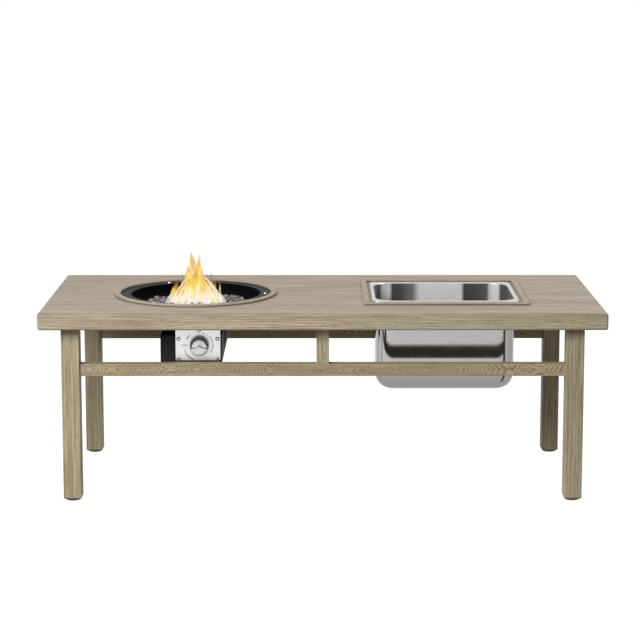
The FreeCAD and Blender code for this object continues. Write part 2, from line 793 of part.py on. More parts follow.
# The pressed-steel fire bowl, its gasket and the screws that hold it on the deck
def makeBowl():
    body = newBody("Bowl", onBowl("tableHeight"))
    spots = [
        ("neckRadius + holeClearance", "-bowlDepth"),
        ("bowlRadius", "-bowlDepth"),
        ("bowlRadius", "gasketThickness + bowlSheet"),
        ("bowlRadius + bowlFlange", "gasketThickness + bowlSheet"),
        ("bowlRadius + bowlFlange", "gasketThickness"),
        ("bowlRadius + bowlSheet", "gasketThickness"),
        ("bowlRadius + bowlSheet", "-bowlDepth - bowlSheet"),
        ("neckRadius + holeClearance", "-bowlDepth - bowlSheet"),
    ]
    turned = revolve(body, outline(newSketch(body, "XZ_Plane"), spots))
    inner, outer = number("bowlRadius"), number("bowlRadius + bowlSheet")
    floor, under = number("-bowlDepth"), number("-bowlDepth - bowlSheet")
    top = number("gasketThickness + bowlSheet")

    def rim(radius, height):
        return lambda edge: atHeight(edge, height) and abs(edge.BoundBox.XMax - radius) < touch

    within = dress("Fillet", body, turned, "bowlCorner", rim(inner, floor))
    around = dress("Fillet", body, within, "bowlCorner + bowlSheet", rim(outer, under))
    dress("Fillet", body, around, "bowlMouth", rim(inner, top))
    electrodeHole = rod(
        "ElectrodeHole",
        "electrodeRadius + holeClearance",
        "bowlSheet * 4",
        ("bowlX", "electrodeY", "bowlUnder - bowlSheet"),
    )
    shroudHoles = [
        screwHole(f"BowlFloorHole{index}", place, "Z") for index, place in enumerate(shroudScrews())
    ]
    flangeHoles = [
        screwHole(f"BowlFlangeHole{index}", place, "-Z") for index, place in enumerate(flangeScrews())
    ]
    finish("fire_bowl", cut("BowlCut", body, [electrodeHole] + shroudHoles + flangeHoles))
    outerRing = rod("GasketOuter", "flangeRadius", "gasketThickness", onBowl("tableHeight"))
    innerRing = rod(
        "GasketInner",
        "flangeRadius - gasketWidth",
        "gasketThickness * 3",
        onBowl("tableHeight - gasketThickness"),
    )
    gasketHoles = [
        screwHole(f"GasketHole{index}", place, "-Z") for index, place in enumerate(flangeScrews())
    ]
    finish("bowl_gasket", cut("Gasket", outerRing, [innerRing] + gasketHoles))
    screws = [screw(f"FlangeScrew{index}", place, "-Z") for index, place in enumerate(flangeScrews())]
    finish("bowl_flange_screws", grouped("FlangeScrews", screws))


# The tapered black underbody below the bowl
def makeShroud():
    body = newBody("Shroud", onBowl("bowlUnder"))
    spots = [
        ("shroudRadius - shroudFlange", "-shroudSheet"),
        ("shroudRadius - shroudSheet", "-shroudSheet"),
        ("shroudTipRadius - shroudSheet", "-shroudHeight"),
        ("shroudTipRadius", "-shroudHeight"),
        ("shroudRadius", "0"),
        ("shroudRadius - shroudFlange", "0"),
    ]
    revolve(body, outline(newSketch(body, "XZ_Plane"), spots))
    tubeHole = rod(
        "ShroudTubeHole",
        "tubeRadius + grommetGap",
        "shroudRadius",
        ("knobX", "bowlY - shroudRadius", "tubeExitZ"),
        "Y",
    )
    leadHole = rod(
        "ShroudLeadHole",
        "leadRadius + grommetGap",
        "shroudRadius",
        ("bowlX", "bowlY - shroudRadius", "leadRun"),
        "Y",
    )
    holes = [screwHole(f"ShroudHole{index}", place, "Z") for index, place in enumerate(shroudScrews())]
    finish("tapered_underbody", cut("ShroudCut", body, [tubeHole, leadHole] + holes))
    reach = "shroudSheet + bowlSheet"
    screws = [
        screw(f"ShroudScrew{index}", place, "Z", length=reach) for index, place in enumerate(shroudScrews())
    ]
    finish("underbody_screws", grouped("ShroudScrews", screws))


# Hub, ring tube and spokes, with ports round the top of the ring
def makeBurner():
    centre = onBowl("bowlFloor")
    hub = rod("Hub", "hubRadius", "hubHeight", centre)
    neckFoot = onBowl("bowlUnder - lockNutHeight - neckLength")
    neck = rod("Neck", "neckRadius", "bowlSheet + lockNutHeight + neckLength", neckFoot)
    ring = doc.addObject("Part::Torus", "RingTube")
    bind(ring, "Radius1", "burnerRadius")
    bind(ring, "Radius2", "burnerTube")
    moveTo(ring, onBowl("burnerMiddle"))
    spokes = [
        rod(f"Spoke{along}", "spokeRadius", "burnerRadius", onBowl("burnerMiddle"), along)
        for along in ("X", "-X", "Y")
    ]
    bore = rod("NeckBore", "neckBore", "hubHeight + neckLength", neckFoot)
    ports = []
    for index in range(int(number("portCount"))):
        turn = f"{index} * 360 deg / portCount"
        place = (
            f"bowlX + burnerRadius * cos({turn})",
            f"bowlY + burnerRadius * sin({turn})",
            "burnerMiddle + burnerTube / 2",
        )
        ports.append(rod(f"Port{index}", "portRadius", "burnerTube", place))
    finish("burner", cut("Burner", joined("BurnerBlank", [hub, neck, ring] + spokes), [bore] + ports))
    nut = doc.addObject("Part::Prism", "LockNutBlank")
    nut.Polygon = 6
    bind(nut, "Circumradius", "lockNutRadius")
    bind(nut, "Height", "lockNutHeight")
    moveTo(nut, onBowl("bowlUnder - lockNutHeight"))
    hole = rod(
        "LockNutHole",
        "neckRadius + holeClearance",
        "lockNutHeight * 3",
        onBowl("bowlUnder - lockNutHeight * 2"),
    )
    finish("burner_lock_nut", cut("LockNut", nut, [hole]))
    tube = rod("MixerOuter", "mixerRadius", "mixerLength", onBowl("mixerBottom"))
    inside = rod(
        "MixerBore",
        "mixerRadius - mixerWall + holeClearance",
        "mixerLength * 2",
        onBowl("mixerBottom - mixerLength / 2"),
    )
    windowFoot = onBowl("mixerBottom + airWindowRise")
    windows = [
        rod(f"AirWindow{along}", "airWindowRadius", "mixerRadius * 2", windowFoot, along)
        for along in ("X", "-X", "Y", "-Y")
    ]
    finish("air_mixer_tube", cut("Mixer", tube, [inside] + windows))
    head = doc.addObject("Part::Prism", "JetHead")
    head.Polygon = 6
    bind(head, "Circumradius", "mixerRadius")
    bind(head, "Height", "jetHead")
    moveTo(head, onBowl("jetBottom"))
    spigot = rod("JetSpigot", "mixerRadius - mixerWall", "jetHead / 2", onBowl("mixerBottom"))
    nose = rod("JetNose", "jetRadius", "jetHead", onBowl("mixerBottom"))
    bore = rod("JetBore", "jetBore", "jetHead * 4", onBowl("jetBottom - jetHead"))
    socket = rod("JetSocket", "tubeRadius + holeClearance", "tubeSocket", onBowl("jetBottom"))
    finish("gas_jet", cut("Jet", joined("JetBlank", [head, spigot, nose]), [bore, socket]))


# A round tube along straight runs joined by tangent arcs; the bend at each inner point has one radius
def bentTube(name, route, radius, bend):
    edges = []
    start = route[0]
    length = 0
    for before, here, after in zip(route, route[1:], route[2:]):
        inward, outward = (here - before).normalize(), (after - here).normalize()
        turn = inward.getAngle(outward)
        reach = bend * math.tan(turn / 2)
        entry, leave = here - inward * reach, here + outward * reach
        bisector = (outward - inward).normalize()
        middle = here + bisector * (bend / math.cos(turn / 2) - bend)
        edges.append(Part.LineSegment(start, entry).toShape())
        edges.append(Part.Arc(entry, middle, leave).toShape())
        length += (entry - start).Length + bend * turn
        start = leave
    edges.append(Part.LineSegment(start, route[-1]).toShape())
    length += (route[-1] - start).Length
    path = Part.Wire(edges)
    profile = Part.Wire(Part.Circle(route[0], (route[1] - route[0]).normalize(), radius).toShape())
    solid = path.makePipeShell([profile], True, True)
    expected = math.pi * radius**2 * length
    if abs(solid.Volume - expected) > touch * expected:
        raise ValueError(name + " has the wrong volume")
    print(name, "length", round(length, 1), "bend radius", bend)
    item = doc.addObject("Part::Feature", name)
    item.Shape = solid
    return item


# Gas tube from the valve's back to the jet under the mixer tube
def makeGasTube():
    route = [
        point("knobX", "valveBack", "tubeExitZ"),
        point("knobX", "bowlY - tubeTurn", "tubeExitZ"),
        point(*onBowl("jetBottom - tubeSag")),
        point(*onBowl("jetBottom + tubeSocket")),
    ]
    finish("gas_tube", bentTube("GasTube", route, number("tubeRadius"), number("tubeBend")))


# A flat-faced solid stretched about the origin
def stretched(solid, across, upward):
    faces = []
    for face in solid.Faces:
        spots = [corner.Point for corner in face.OuterWire.OrderedVertexes]
        spots = [Vector(spot.x * across, spot.y * across, spot.z * upward) for spot in spots]
        faces.append(Part.Face(Part.makePolygon(spots + spots[:1])))
    return Part.makeSolid(Part.makeShell(faces))


# Irregular stones, each the common part of three tilted blocks, resting on the bowl's floor
def makeRocks():
    rocks = []
    width, height = number("rockWidth"), number("rockHeight")
    centre = point(*onBowl("bowlFloor + restGap"))
    for ring, start in (("innerRockRing", 0), ("outerRockRing", 12)):
        radius = number(ring)
        count = int(2 * math.pi * radius / (width + number("rockGap")))
        for index in range(count):
            seed = start + index
            stone = None
            for part in range(3):
                side = width * (0.86 + 0.05 * ((seed + part) % 4))
                block = Part.makeBox(side, side, side, Vector(-side / 2, -side / 2, -side / 2))
                axis = Vector(math.cos(seed + part), math.sin(2 * seed + part), 0.6 - 0.4 * part)
                block.rotate(Vector(), axis, 37 * seed + 61 * part)
                stone = block if stone is None else stone.common(block)
            reach = max(math.hypot(corner.X, corner.Y) for corner in stone.Vertexes)
            tall = height * (0.88 + 0.04 * (seed % 4))
            stone = stretched(stone, width / 2 / reach, tall / stone.BoundBox.ZLength)
            turn = 2 * math.pi * (index + 0.5 * (start > 0)) / count
            foot = Vector(radius * math.cos(turn), radius * math.sin(turn), -stone.BoundBox.ZMin)
            stone.translate(centre + foot)
            rocks.append(stone)
    item = doc.addObject("Part::Feature", "LavaRocks")
    item.Shape = Part.makeCompound(rocks)
    finish("lava_rocks", item)


# A tongue of flame: foot, radius and height, and how its outline swells and narrows
def tongue(name, foot, radius, height, profile):
    body = newBody(name, foot)
    spots = [("0", "0")]
    spots += [(f"{radius} * {wide}", f"({height}) * {share}") for wide, share in profile]
    spots.append(("0", height))
    revolve(body, outline(newSketch(body, "XZ_Plane"), spots))
    return body


# The fire: a wide middle, two tall tongues and a ring of small ones that stand on the burner
def makeFlame():
    rise = "tableHeight + flameHeight - flameFoot"
    slender = [(0.35, 0), (0.85, 0.14), (1, 0.28), (0.84, 0.48), (0.42, 0.76)]
    spreading = [(1, 0), (1.05, 0.14), (0.93, 0.32), (0.66, 0.52), (0.42, 0.7), (0.24, 0.86)]
    middle = onBowl("flameFoot")
    solids = [tongue("FlameCore", middle, "flameCore", f"0.8 * ({rise})", spreading)]
    for side, share in ((-1, 1), (1, 0.95)):
        foot = (f"bowlX + {side} * tallTongueReach", "bowlY", "flameFoot")
        height = f"{share} * ({rise})"
        solids.append(tongue(f"TallTongue{side + 1}", foot, "tallTongueRadius", height, slender))
    for index, share in enumerate((1, 0.7, 0.9, 0.65, 0.95, 0.75, 0.85, 0.6)):
        turn = f"{index} * 45 deg"
        foot = (
            f"bowlX + burnerRadius * cos({turn})",
            f"bowlY + burnerRadius * sin({turn})",
            "flameFoot",
        )
        height = f"{share} * ringTongueHeight"
        solids.append(tongue(f"RingTongue{index}", foot, "ringTongueRadius", height, slender))
    finish("flame", joined("Flame", solids))


# Places of the faceplate's four screws, on its front
def plateScrews():
    return [
        (
            f"plateX + {signX} * plateScrewX / 2",
            "plateFront",
            f"plateScrewMiddle + {signZ} * plateScrewZ / 2",
        )
        for signX in (-1, 1)
        for signZ in (-1, 1)
    ]


# Screws through the faceplate's tab, up into the front edge board
def tabScrews():
    return [
        (f"plateX + {side} * tabScrewSpacing / 2", "plateFront + tabScrewReach", "slabUnder - plateSheet")
        for side in (-1, 1)
    ]


def plateScrewHoles(name):
    return [screwHole(f"{name}{index}", place, "Y") for index, place in enumerate(plateScrews())]


def stemHole(name):
    return rod(name, "stemHoleRadius", "boxDepth / 2", onKnob("plateFront - plateSheet"), "Y")


# Faceplate with its tab, the control box behind it, and what hangs them
def makeControlBox():
    left = "plateX - plateWidth / 2"
    face = box(
        "Face",
        (left, "plateFront", "tableHeight - plateBottomDrop"),
        ("plateWidth", "plateSheet", "plateBottomDrop - slabThickness"),
    )
    tabLow = (left, "plateFront", "slabUnder - plateSheet")
    tab = box("FaceTab", tabLow, ("plateWidth", "plateTab", "plateSheet"))
    tabHoles = [screwHole(f"FaceTabHole{index}", place, "Z") for index, place in enumerate(tabScrews())]
    holes = plateScrewHoles("FaceHole") + [stemHole("FaceStemHole")] + tabHoles
    finish("faceplate", cut("FaceCut", joined("FaceBlank", [face, tab]), holes))
    screws = [
        screw(f"FaceScrew{index}", place, "Y", length="screwLength / 2")
        for index, place in enumerate(plateScrews())
    ]
    finish("faceplate_screws", grouped("FaceScrews", screws))
    tabs = [screw(f"TabScrew{index}", place, "Z") for index, place in enumerate(tabScrews())]
    finish("faceplate_tab_screws", grouped("TabScrews", tabs))

    low = ("bowlX - boxWidth / 2", "plateBack", "boxTop - boxHeight")
    shell = box("BoxOuter", low, ("boxWidth", "boxDepth", "boxHeight"))
    inside = box(
        "BoxInner",
        ("bowlX - boxWidth / 2 + boxSheet", "plateBack + boxSheet", "boxTop - boxHeight * 2"),
        ("boxWidth - 2 * boxSheet", "boxDepth - 2 * boxSheet", "boxHeight * 2 - boxSheet"),
    )
    hole, behind = "boxSheet * 6", "boxBack - boxSheet * 3"
    tubeHole = rod("BoxTubeHole", "tubeRadius + grommetGap", hole, ("knobX", behind, "tubeExitZ"), "Y")
    leadHole = rod("BoxLeadHole", "leadRadius + grommetGap", hole, ("igniterX", behind, "leadRun"), "Y")
    holes = [inside, tubeHole, leadHole, stemHole("BoxStemHole")] + plateScrewHoles("BoxHole")
    finish("control_box", cut("ControlBox", shell, holes))

    hangers = []
    for index, side in enumerate((-1, 1)):
        x = f"bowlX + {side} * hangerReach - hangerWidth / 2"
        y = "boxBack - hangerWidth - hangerSetback"
        square = ("hangerWidth", "hangerWidth", "hangerSheet")
        foot = box(f"HangerFoot{index}", (x, y, "boxTop"), square)
        head = box(f"HangerHead{index}", (x, y, "bowlUnder - hangerSheet"), square)
        upright = ("hangerWidth", "hangerSheet", "bowlUnder - boxTop")
        web = box(f"HangerWeb{index}", (x, y, "boxTop"), upright)
        hangers.append(joined(f"Hanger{index}", [foot, head, web]))
    finish("box_hangers", grouped("BoxHangers", hangers))


# Gas valve on its plate, with the stem, collar and spring, and the inlet fitting below
def makeValve():
    sheetLow = (
        "plateX - plateScrewX / 2 - valvePlateEdge",
        "boxFrontInside",
        "plateScrewMiddle - plateScrewZ / 2 - valvePlateEdge",
    )
    sheetSize = (
        "plateScrewX + 2 * valvePlateEdge",
        "valvePlateSheet",
        "plateScrewZ + 2 * valvePlateEdge",
    )
    plate = box("ValvePlateBlank", sheetLow, sheetSize)
    holes = [stemHole("ValvePlateHole")] + plateScrewHoles("ValvePlateScrew")
    finish("valve_plate", cut("ValvePlate", plate, holes))
    blockLow = ("knobX - valveWidth / 2", "valveFront", "valveUnder")
    block = box("ValveBlock", blockLow, ("valveWidth", "valveDepth", "valveHeight"))
    cupBore = rod("CupBore", "cupBoreRadius", "cupBoreDepth", onKnob("valveFront"), "Y")
    stemBore = rod(
        "StemBore",
        "stemRadius + runningClearance",
        "stemDepth + knobGap",
        onKnob("valveFront"),
        "Y",
    )
    inletSocket = rod(
        "InletSocket",
        "inletNeckRadius + holeClearance",
        "inletSocket",
        ("knobX", "inletY", "valveUnder"),
    )
    finish("gas_valve", cut("GasValve", block, [cupBore, stemBore, inletSocket]))
    neck = rod(
        "InletNeck",
        "inletNeckRadius",
        "valveUnder - inletTip + inletSocket - holeClearance",
        ("knobX", "inletY", "inletTip"),
    )
    thread = rod("InletThread", "inletRadius", "inletThread", ("knobX", "inletY", "inletTip"))
    nut = doc.addObject("Part::Prism", "InletNut")
    nut.Polygon = 6
    bind(nut, "Circumradius", "inletNutRadius")
    bind(nut, "Height", "inletNutHeight")
    moveTo(nut, ("knobX", "inletY", "inletTip + inletThread"))
    bore = rod("InletBore", "inletBore", "inletDrop", ("knobX", "inletY", "inletTip - inletBore"))
    finish("gas_inlet_fitting", cut("InletFitting", joined("InletBlank", [neck, thread, nut]), [bore]))

    cup = rod("CupBlank", "cupRadius", "cupThickness", onKnob("cupFront"), "Y")
    cupHole = rod(
        "CupHole",
        "stemRadius + runningClearance",
        "cupThickness * 3",
        onKnob("cupFront - cupThickness"),
        "Y",
    )
    finish("thrust_collar", cut("ThrustCollar", cup, [cupHole]))
    makeSpring()

    stem = rod(
        "StemRod",
        "stemRadius",
        "valveFront + stemDepth - knobBack + knobBore - knobBoreGap",
        onKnob("knobBack - knobBore + knobBoreGap"),
        "Y",
    )
    shoulder = rod(
        "StemShoulder",
        "stemShoulder",
        "cupFront - knobBack - 2 * runningClearance",
        onKnob("knobBack + runningClearance"),
        "Y",
    )
    finish("valve_stem", joined("ValveStem", [stem, shoulder]))


# Return spring between the collar and the floor of the valve's bore
def makeSpring():
    wire, radius = number("springWire"), number("springRadius")
    length = number("boreFloor - cupBack") - wire - 2 * number("runningClearance")
    pitch = length / number("springTurns")
    helix = Part.makeHelix(pitch, length, radius)
    profile = Part.Wire(Part.Circle(Vector(radius, 0, 0), Vector(0, 1, 0), wire / 2).toShape())
    solid = Part.Wire(helix.Edges).makePipeShell([profile], True, True)
    print("spring gap between turns", round(pitch - wire, 2))
    item = doc.addObject("Part::Feature", "StemSpring")
    item.Shape = solid
    start = number("cupBack") + wire / 2 + number("runningClearance")
    place = Vector(number("knobX"), start, number("knobZ"))
    item.Placement = Placement(place, Rotation(Vector(1, 0, 0), -90))
    finish("stem_spring", item)


# The knob: a round base with a half-moon grip whose upper edge bulges in the middle
def makeKnob():
    disc = rod("KnobDisc", "knobRadius", "knobBase", onKnob("knobBack"), "-Y")
    full = rod("KnobRound", "knobRadius - knobStep", "knobBase + knobGrip", onKnob("knobBack"), "-Y")
    lower = box(
        "KnobLower",
        ("knobX - knobRadius", "knobBack - knobBase - knobGrip", "knobZ - knobRadius"),
        ("2 * knobRadius", "knobBase + knobGrip", "knobRadius - gripDrop"),
    )
    bulgeFoot = ("knobX", "knobBack", "knobZ - knobBump + bulgeRise")
    bulge = rod("KnobBulge", "knobBump", "knobBase + knobGrip", bulgeFoot, "-Y")
    grip = shared("KnobGrip", [full, joined("KnobHalf", [lower, bulge])])
    bore = rod("KnobBore", "stemRadius + runningClearance / 2", "knobBore", onKnob("knobBack"), "-Y")
    finish("control_knob", cut("Knob", joined("KnobBlank", [disc, grip]), [bore]))


# Electrode beside the burner's hub, the igniter in the control box and the lead between them
def makeIgnition():
    foot = ("bowlX", "electrodeY", "electrodeFoot")
    body = rod("ElectrodeBody", "electrodeRadius", "electrodeLength", foot)
    tip = rod("ElectrodeWire", "electrodeTip", "electrodeLength + electrodeTipReach", foot)
    finish("igniter_electrode", joined("Electrode", [body, tip]))
    low = ("igniterX - igniterWidth / 2", "igniterFront", "igniterZ")
    finish("igniter_module", box("IgniterModule", low, ("igniterWidth", "igniterDepth", "igniterHeight")))
    route = [
        point("bowlX", "electrodeY", "electrodeFoot"),
        point("bowlX", "electrodeY", "leadRun"),
        point("bowlX", "boxBack + leadGap", "leadRun"),
        point("igniterX", "boxBack + leadGap", "leadRun"),
        point("igniterX", "igniterFront + igniterDepth", "leadRun"),
    ]
    finish("ignition_lead", bentTube("IgnitionLead", route, number("leadRadius"), number("leadBend")))


# The drawn steel ice bucket: a deep tub with a flat rim and a turned-down lip
def makeBucket():
    body = newBody("Bucket", ("bucketX", "0", "bucketUnder"))
    loop = centred(newSketch(body, "XY_Plane"), "bucketLength", "bucketWidth")
    blank = pad(body, loop, "rimUnder - bucketUnder")
    eased = dress("Fillet", body, blank, "bucketCorner", upright)
    tub = dress("Fillet", body, eased, "bucketBase", lambda edge: atHeight(edge, 0))
    doc.recompute()
    height = number("rimUnder - bucketUnder")
    top = [
        f"Face{index}"
        for index, face in enumerate(tub.Shape.Faces, start=1)
        if abs(face.BoundBox.ZMin - height) < touch
    ]
    shell = body.newObject("PartDesign::Thickness", "BucketShell")
    shell.Base = (tub, top)
    bind(shell, "Value", "bucketSheet")
    shell.Reversed = True
    rim = newSketch(body, "XY_Plane", "rimUnder - bucketUnder")
    roundedLoop(rim, "rimLength", "rimWidth", "rimCorner")
    roundedLoop(
        rim,
        "bucketLength - 2 * bucketSheet",
        "bucketWidth - 2 * bucketSheet",
        "bucketCorner - bucketSheet",
    )
    pad(body, rim, "bucketSheet")
    lip = newSketch(body, "XY_Plane", "bucketDepth + restGap")
    roundedLoop(lip, "rimLength", "rimWidth", "rimCorner")
    roundedLoop(
        lip,
        "rimLength - 2 * bucketSheet",
        "rimWidth - 2 * bucketSheet",
        "rimCorner - bucketSheet",
    )
    pad(body, lip, "rimHeight - restGap")
    finish("ice_bucket", body)


makePanel()
makeBoards()
makeLegs()
makeBrackets()
makeStretchers()
makeTrims()
makeBowl()
makeShroud()
makeBurner()
makeGasTube()
makeRocks()
makeFlame()
makeControlBox()
makeValve()
makeKnob()
makeIgnition()
makeBucket()
doc.recompute()

failed = [item.Label for item in doc.Objects if "Invalid" in item.State or "Error" in item.State]
if failed:
    raise ValueError("failed: " + ", ".join(failed))
faulty = [item.Label for item in nodes if not item.Shape.isValid() or not item.Shape.Solids]
if faulty:
    raise ValueError("no valid solid: " + ", ".join(faulty))

os.makedirs("parts", exist_ok=True)
for item in nodes:
    item.Shape.exportStep(f"parts/{item.Label}.step")
    print(item.Label, len(item.Shape.Solids), "solids, volume", round(item.Shape.Volume))
print(len(nodes), "nodes")
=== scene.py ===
import math
import random
from functools import partial

import bmesh
import bpy
from mathutils import Matrix, Vector
from mathutils import noise as noiseField


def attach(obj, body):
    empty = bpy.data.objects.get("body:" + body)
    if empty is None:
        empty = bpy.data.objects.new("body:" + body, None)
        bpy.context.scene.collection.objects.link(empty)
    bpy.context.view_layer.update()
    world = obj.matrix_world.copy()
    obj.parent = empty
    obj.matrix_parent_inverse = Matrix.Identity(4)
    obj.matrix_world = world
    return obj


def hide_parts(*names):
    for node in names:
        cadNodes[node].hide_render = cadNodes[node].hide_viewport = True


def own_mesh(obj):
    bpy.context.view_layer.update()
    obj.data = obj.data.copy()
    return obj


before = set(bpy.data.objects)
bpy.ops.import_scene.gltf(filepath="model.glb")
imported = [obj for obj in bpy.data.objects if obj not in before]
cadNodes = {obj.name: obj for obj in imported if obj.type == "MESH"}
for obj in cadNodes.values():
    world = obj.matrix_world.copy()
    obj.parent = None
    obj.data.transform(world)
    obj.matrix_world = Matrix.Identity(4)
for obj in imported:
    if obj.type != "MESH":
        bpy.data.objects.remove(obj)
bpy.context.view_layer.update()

scene = bpy.context.scene
mm = 0.001
near = 0.02 * mm  # points closer than this count as being in one place
print("loaded", len(cadNodes), "CAD nodes")

# Fire pit table: oak slab on four legs, black gas fire bowl at the left, steel ice bucket at the right


# An sRGB hex colour as Blender's linear values
def linear(hexColour):
    channels = [int(hexColour[i:i + 2], 16) / 255 for i in (1, 3, 5)]
    return [c / 12.92 if c <= 0.04045 else ((c + 0.055) / 1.055) ** 2.4 for c in channels] + [1.0]


# Adds a shader node with its settings. An input is linked to a socket or to the first output in use
# of another node, and any other value is set on it
def addNode(tree, kind, inputs=None, stops=(), **settings):
    node = tree.nodes.new("ShaderNode" + kind)
    for field, value in settings.items():
        setattr(node, field, value)
    for socket, value in (inputs or {}).items():
        if isinstance(value, bpy.types.Node):
            value = next(output for output in value.outputs if output.enabled)
        if isinstance(value, bpy.types.NodeSocket):
            tree.links.new(value, node.inputs[socket])
        else:
            node.inputs[socket].default_value = value
    for index, (position, colour) in enumerate(stops):
        elements = node.color_ramp.elements
        element = elements[index] if index < len(elements) else elements.new(position)
        element.position = position
        element.color = linear(colour) if isinstance(colour, str) else [colour] * 3 + [1]
    return node


# Empties the node tree of a material or world, and gives addNode for it
def freshTree(owner):
    owner.use_nodes = True
    owner.node_tree.nodes.clear()
    return partial(addNode, owner.node_tree)


materials = {}


# A new material: addNode for its tree, and Object coordinates in metres
def newMaterial(name):
    materials[name] = bpy.data.materials.new(name)
    add = freshTree(materials[name])
    return add, add("TexCoord").outputs["Object"]


# Closes a material: one Principled shader to the output
def closeMaterial(add, inputs):
    add("OutputMaterial", {"Surface": add("BsdfPrincipled", inputs)})


# Noise in clouds of a size in metres along each axis
def clouds(add, place, size, detail, distortion=0.0):
    scaled = add("Mapping", {"Vector": place, "Scale": [1 / width for width in size]})
    return add("TexNoise", {"Vector": scaled, "Scale": 1.0, "Detail": detail, "Distortion": distortion})


# Oak, sawn, greyed and oiled: the eye sees grey-beige wood with streaks along the grain, arches of
# growth rings that point now one way and now the other, short dark pores, and a dull shine
oak = {
    "ring": 6.5 * mm,  # growth ring width, widened so that it shows
    "rings": 0.35,  # how strongly the rings show
    "wander": (30 * mm, 420 * mm),  # how far and how slowly the log's middle drifts along the grain
    "squash": 1.0,  # rings flattened across the board, so that their arches run longer
    "warp": 3.5,  # how crooked the rings are
    "taper": 0.16,  # how much of a step along the grain counts as one across it
    "streak": 3.4 * mm,  # fibre bundles across the grain
    "streakLength": 130 * mm,
    "pore": 1.7 * mm,  # real pores are 0.3 mm, drawn coarser so that they show
    "poreLength": 26 * mm,
    "drift": 60 * mm,  # slow changes of tone
    "driftLength": 420 * mm,
    "driftShare": 0.38,
    "light": "#b5a897",
    "body": "#a99c8b",
    "shade": "#9a8d7b",
    "ringLine": "#8b7e6b",
    "poreLine": "#83765f",
    "roughness": (0.66, 0.48),
}
grainTurns = {"X": (0, 0, 0), "Y": (0, 0, -math.pi / 2), "Z": (0, math.pi / 2, 0)}


# Colour of one board, with its streaks and pores; shift brings the log's middle to its place
def boardTone(add, place, look):
    turn = grainTurns[look["along"]]
    grain = add("Mapping", {"Vector": place, "Location": look["shift"], "Rotation": turn})
    reach, slow = look["wander"]
    along = add("SeparateXYZ", {0: grain}).outputs
    travel = add("Math", {0: along["X"], 1: 1 / slow}, operation="MULTIPLY")
    path = add("TexNoise", {"W": travel, "Scale": 1.0, "Detail": 1.0}, noise_dimensions="1D")
    push = add("Math", {0: path, 1: reach, 2: -reach / 2}, operation="MULTIPLY_ADD")
    depth = add("Math", {0: along["Y"], 1: push}, operation="ADD")
    length = add("Math", {0: along["X"], 1: look["taper"]}, operation="MULTIPLY")
    across = add("Math", {0: along["Z"], 1: look["squash"]}, operation="MULTIPLY")
    log = add("CombineXYZ", {"X": length, "Y": depth, "Z": across})
    # a wave's ring repeats every 2 pi / 20 at scale 1
    ringWave = add("TexWave", {
        "Vector": log, "Scale": math.pi / 10 / look["ring"], "Distortion": look["warp"],
        "Detail": 3.0, "Detail Scale": 0.3, "Detail Roughness": 0.55,
    }, wave_type="RINGS", rings_direction="X", wave_profile="SAW")
    ringMask = add("ValToRGB", {"Fac": ringWave.outputs["Fac"]}, [
        (0.0, 0.3), (0.35, 0.0), (0.7, 0.35), (0.92, 1.0)])
    streak, pore, drift = [
        clouds(add, grain, (look[kind + "Length"], look[kind], look[kind]), detail)
        for kind, detail in (("streak", 4), ("pore", 1), ("drift", 2))]
    fibres, stains = [
        add("ValToRGB", {"Fac": pattern}, [
            (0.5 - half, look["shade"]), (0.5, look["body"]), (0.5 + half, look["light"])])
        for pattern, half in ((streak, 0.14), (drift, 0.16))]
    pores = add("ValToRGB", {"Fac": pore}, [(0.6, 0.0), (0.72, 0.8)])
    ringShare = add("Math", {0: ringMask, 1: look["rings"]}, operation="MULTIPLY")
    wood = add("Mix", {0: look["driftShare"], 6: fibres, 7: stains}, data_type="RGBA")
    for share, line in ((ringShare, "ringLine"), (pores, "poreLine")):
        wood = add("Mix", {0: share, 6: wood, 7: linear(look[line])}, data_type="RGBA")
    return wood, streak, pores


# One oak material. Under the height lower[0] it takes a second board's look, and thin dark lines lie at
# given heights, some of them painted shade and some joints: height, half width, depth and colour
def weatheredOak(name, look, lower=None, joints=()):
    add, place = newMaterial(name)
    wood, streak, pores = boardTone(add, place, look)
    height = add("SeparateXYZ", {0: place}).outputs["Z"]
    if lower:
        under = add("Math", {0: height, 1: lower[0]}, operation="LESS_THAN")
        second = boardTone(add, place, lower[1])[0]
        wood = add("Mix", {0: under, 6: wood, 7: second}, data_type="RGBA")
    for level, half, depth, colour in joints:
        line = add("Math", {0: height, 1: level, 2: half}, operation="COMPARE")
        share = add("Math", {0: line, 1: depth}, operation="MULTIPLY")
        wood = add("Mix", {0: share, 6: wood, 7: linear(colour)}, data_type="RGBA")
    rough = add("MapRange", {"Value": streak, "To Min": look["roughness"][0], "To Max": look["roughness"][1]})
    relief = add("Math", {0: streak, 1: pores}, operation="SUBTRACT")
    bump = add("Bump", {"Strength": 0.3, "Distance": 0.3 * mm, "Height": relief})
    closeMaterial(add, {
        "Base Color": wood, "Roughness": rough, "IOR": 1.5, "Specular IOR Level": 0.3, "Normal": bump})


